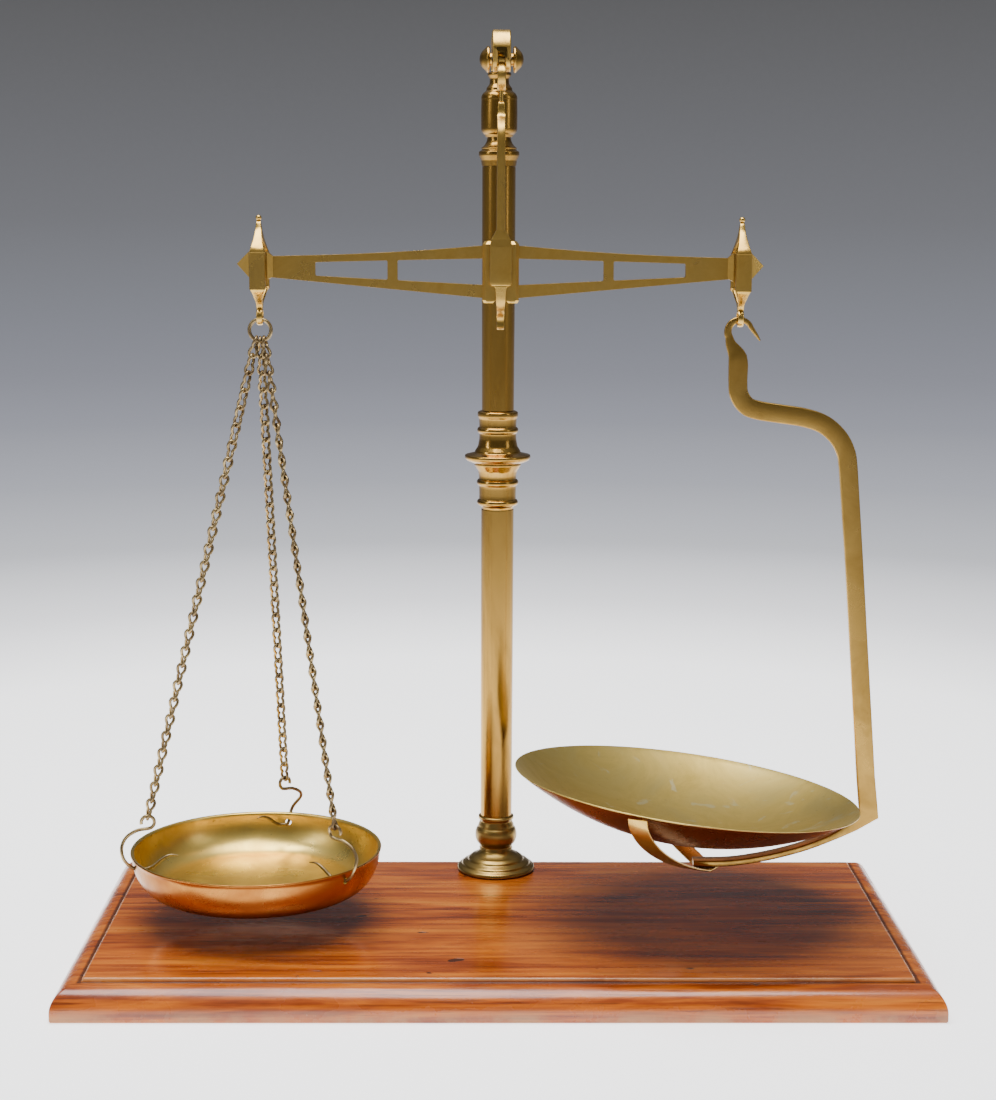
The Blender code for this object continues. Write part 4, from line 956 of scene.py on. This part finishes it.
def weights_pan(mat, outer):
    inside = pan_profile(PAN_RADIUS + 0.0008 - PAN_WALL, PAN_DEPTH - PAN_WALL, PAN_FLOOR - 0.0004)
    outside = pan_profile(PAN_RADIUS + 0.0008, PAN_DEPTH, PAN_FLOOR)
    lip = rounded([inside[0], (PAN_RADIUS - 0.0004, 0.0008), (PAN_RADIUS + 0.0014, 0.0012),
                   (PAN_RADIUS + 0.0019, 0.0002), outside[1]], 0.0007)
    flat = [(r, inside[-1][1]) for r in (0.020, 0.040)]
    under = [(r, outside[-1][1]) for r in (0.040, 0.020)]
    profile = [(0, inside[-1][1]), *flat, *reversed(inside[1:]), *lip, *outside[2:], *under, (0, outside[-1][1])]
    pan = turned(profile, upright(PAN_X, PLANE_Y, PAN_RIM_Z), 160)
    for azimuth, _ in HOOKS.values():
        axis = Vector((PAN_X, PLANE_Y, 0.0741))
        pan = cut(pan, rod(axis + heading(azimuth) * 0.080, axis + heading(azimuth) * 0.100, 0.0025, 24))
    dish = make("weights_dish", pan, mat, "weights_side", ["weights_pan"], angle=40)

    # the outer wall and underside take a darker, redder copy of the dish brass: painted shade and a painted
    # reflection of the board
    def outside_face_painted_shade(face):
        out = face.center - Vector((PAN_X, PLANE_Y, face.center.z))
        return face.normal.dot(out.normalized()) > 0.25 or face.normal.z < -0.5

    second_skin(dish, outer, outside_face_painted_shade)


# ---------------------------------------------------------------- goods carrier
def carrier_arm(mat):
    cx, cz = CARRIER_HOOK
    flat = CARRIER_THICKNESS
    tip = [(cx + 0.0145, cz - 0.0062, 0.0012, 0.0014), (cx + 0.0118, cz - 0.0022, 0.0024, 0.0023)]
    bend = arc((cx, cz), CARRIER_HOOK_RADIUS, 22, 208, 16)
    hook = [(x, z, 0.0034 + 0.0022 * i / (len(bend) - 1), 0.0028) for i, (x, z) in enumerate(bend)]
    neck = [(cx - 0.0063, cz - 0.0085, 0.0074, 0.0032), (cx - 0.0036, cz - 0.0132, 0.0104, 0.0036),
            (cx - 0.0012, cz - 0.0180, 0.0130, flat), (cx - 0.0006, cz - 0.0240, 0.0138, flat)]
    head = [tuple(p) for p in smooth([*tip, *hook, *neck], 2)]
    crank = smooth([(0.1693, 0.4260), (0.1703, 0.4160), (0.1760, 0.4078), (0.1850, 0.4045), (0.2000, 0.4022),
                    (0.2180, 0.3994), (0.2320, 0.3944), (0.2425, 0.3850), (0.2482, 0.3740), (0.2500, 0.3640)], 5)
    arm = [(point.x, point.y, 0.0134, flat) for point in crank]
    corner = [(0.2563, 0.2960, 0.0130, flat), (0.2700, 0.1350, 0.0134, flat), (0.2726, 0.1120, 0.0137, flat),
              (0.2731, 0.1070, 0.0138, flat)]
    rail = [(0.2620, 0.0982, 0.0084, 0.0052), (0.2480, 0.0908, 0.0050, 0.0090), (0.2280, 0.0830, 0.0044, 0.0120),
            (0.2060, 0.0766, 0.0044, 0.0120), (0.1840, 0.0722, 0.0044, 0.0120), (0.1660, 0.0703, 0.0044, 0.0120),
            (0.1440, 0.0703, 0.0044, 0.0120)]
    rail = [tuple(p) for p in smooth(rail, 3)]
    body = ribbon([*head, *arm, *corner, *rail], Matrix.Translation((0, PLANE_Y, 0)), 0.0009)
    make("carrier_blade", body, mat, "goods_carrier", ["carrier_arm"], angle=50)


def pan_frame():
    tilt = Matrix.Rotation(GOODS_TILT, 4, "Y") @ Matrix.Rotation(GOODS_LEAN, 4, "X")
    return Matrix.Translation(GOODS_CENTRE) @ tilt


def strap_ring(point, across, normal, width):
    return [point + across * a + normal * n for a, n in section(width, STRAP_THICKNESS, 0.0005)]


def cradle(mat):
    place = pan_frame()
    middle = Vector((0.1550, PLANE_Y, STRAP_Z))
    halves = {}
    steps = 27
    for side in (-1, 1):
        a = math.radians(CLIP_AZIMUTH * side)
        reach = GOODS_RADIUS + 0.0030
        clip = place @ Vector((reach * math.cos(a), reach * math.sin(a), -0.0024))
        level = Vector((clip.x, clip.y, middle.z))
        flat = (level - middle).normalized()
        across = Vector((0, 0, 1)).cross(flat) * side
        start = middle.lerp(level, STRAP_FLAT)
        rings = [strap_ring(start, across, Vector((0, 0, 1)), STRAP_WIDTH)]
        for i in range(1, steps + 1):
            t = math.radians(90 * i / steps)
            height = clip.z - middle.z
            share = STRAP_SLOPE * math.sin(t) + (1 - STRAP_SLOPE) * (1 - math.cos(t))
            point = start.lerp(level, math.sin(t)) + Vector((0, 0, height * share))
            rise = height * (STRAP_SLOPE * math.cos(t) + (1 - STRAP_SLOPE) * math.sin(t))
            run = (level - start).length * math.cos(t)
            normal = (Vector((0, 0, run)) - flat * rise).normalized()
            rings.append(strap_ring(point, across, normal, STRAP_WIDTH))
        halves[side] = rings
    centre = strap_ring(middle, Vector((-1, 0, 0)), Vector((0, 0, 1)), STRAP_WIDTH * 1.28)
    rings = halves[-1][::-1] + [centre] + halves[1]
    make("cradle", loft(bmesh.new(), rings), mat, "goods_carrier", ["cradle_strap"], angle=50)


def goods_pan(mat, under):
    sphere = (GOODS_RADIUS ** 2 + GOODS_DEPTH ** 2) / (2 * GOODS_DEPTH)
    steps = 32
    inside, outside = [], []
    for i in range(steps + 1):
        radius = GOODS_RADIUS * i / steps
        height = sphere - GOODS_DEPTH - math.sqrt(sphere ** 2 - radius ** 2)
        inside.append((radius * (1 - GOODS_WALL / GOODS_RADIUS * 0.6), height))
        outside.append((radius, height - GOODS_WALL * sphere / math.sqrt(sphere ** 2 - radius ** 2)))
    edge = rounded([inside[-2], inside[-1], outside[-1], outside[-2]], 0.0003)
    bm = turned(inside[:-2] + edge + outside[:-2][::-1], Matrix(), 192)
    place = pan_frame()
    for vert in bm.verts:                            # a hand raised dish is never quite true
        wave = noise.noise(Vector((vert.co.x * 18, vert.co.y * 18, 0.3)))
        reach = vert.co.xy.length / GOODS_RADIUS
        vert.co.z += 0.00022 * wave * (1.0 - reach ** 4)
        vert.co = place @ vert.co
    dish = make("goods_dish", bm, mat, "goods_pan_body", ["goods_pan"], angle=50)
    # faces turned down get the darker, redder brass: painted shade and a painted reflection of the board
    second_skin(dish, under, lambda face: face.normal.z < -0.2)


# ---------------------------------------------------------------- everything
def main():
    camera()
    studio()
    tube = brass("brass_tube", (0.54, 0.31, 0.068), (0.25, 0.13, 0.025), (0.16, 0.28), (1.6, 1.6, 0.25), 0.5)
    foot = brass("brass_foot", (0.38, 0.245, 0.070), (0.20, 0.125, 0.032), (0.26, 0.42), (1, 1, 1), 0.6)
    arm = brass("brass_flat", (0.68, 0.43, 0.105), (0.44, 0.26, 0.055), (0.24, 0.38), (1, 1, 1), 0.35)
    dish = brass("brass_dish", (0.90, 0.67, 0.19), (0.74, 0.48, 0.10), (0.24, 0.38), (1, 1, 1), 0.6)
    chain_brass = brass("brass_wire", (0.46, 0.34, 0.16), (0.16, 0.105, 0.055), (0.24, 0.44), (1, 1, 1), 0.8,
                        blotch=90.0)
    dark = steel()

    board(mahogany())
    pillar(tube, foot)
    swan_neck(arm)
    knobs(tube)
    hanger(arm)
    shears(arm)
    beam(arm)
    for name, x in (("left_shackle", -ARM_LENGTH), ("right_shackle", ARM_LENGTH)):
        shackle(name, x, arm)
    pan_gear(chain_brass)
    # the pan's outside brass is a darker, redder copy of the dish brass: painted shade and a painted reflection of
    # the board
    weights_pan(dish, brass("brass_outside_painted_shade_and_reflection", (0.50, 0.215, 0.045), (0.34, 0.115, 0.020), (0.22, 0.34)))
    carrier_arm(brass("brass_blade", (0.48, 0.29, 0.070), (0.28, 0.16, 0.035), (0.26, 0.40), (1, 1, 1), 0.4))
    cradle(arm)
    # the underside brass is a darker, redder copy: painted shade and a painted reflection of the board
    goods_pan(goods_brass(), brass("brass_underside_painted_shade", (0.36, 0.13, 0.050), (0.20, 0.060, 0.022), (0.22, 0.36)))

    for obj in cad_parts.values():
        if not obj.hide_render:
            obj.data.materials.clear()
            obj.data.materials.append(dark)


main()
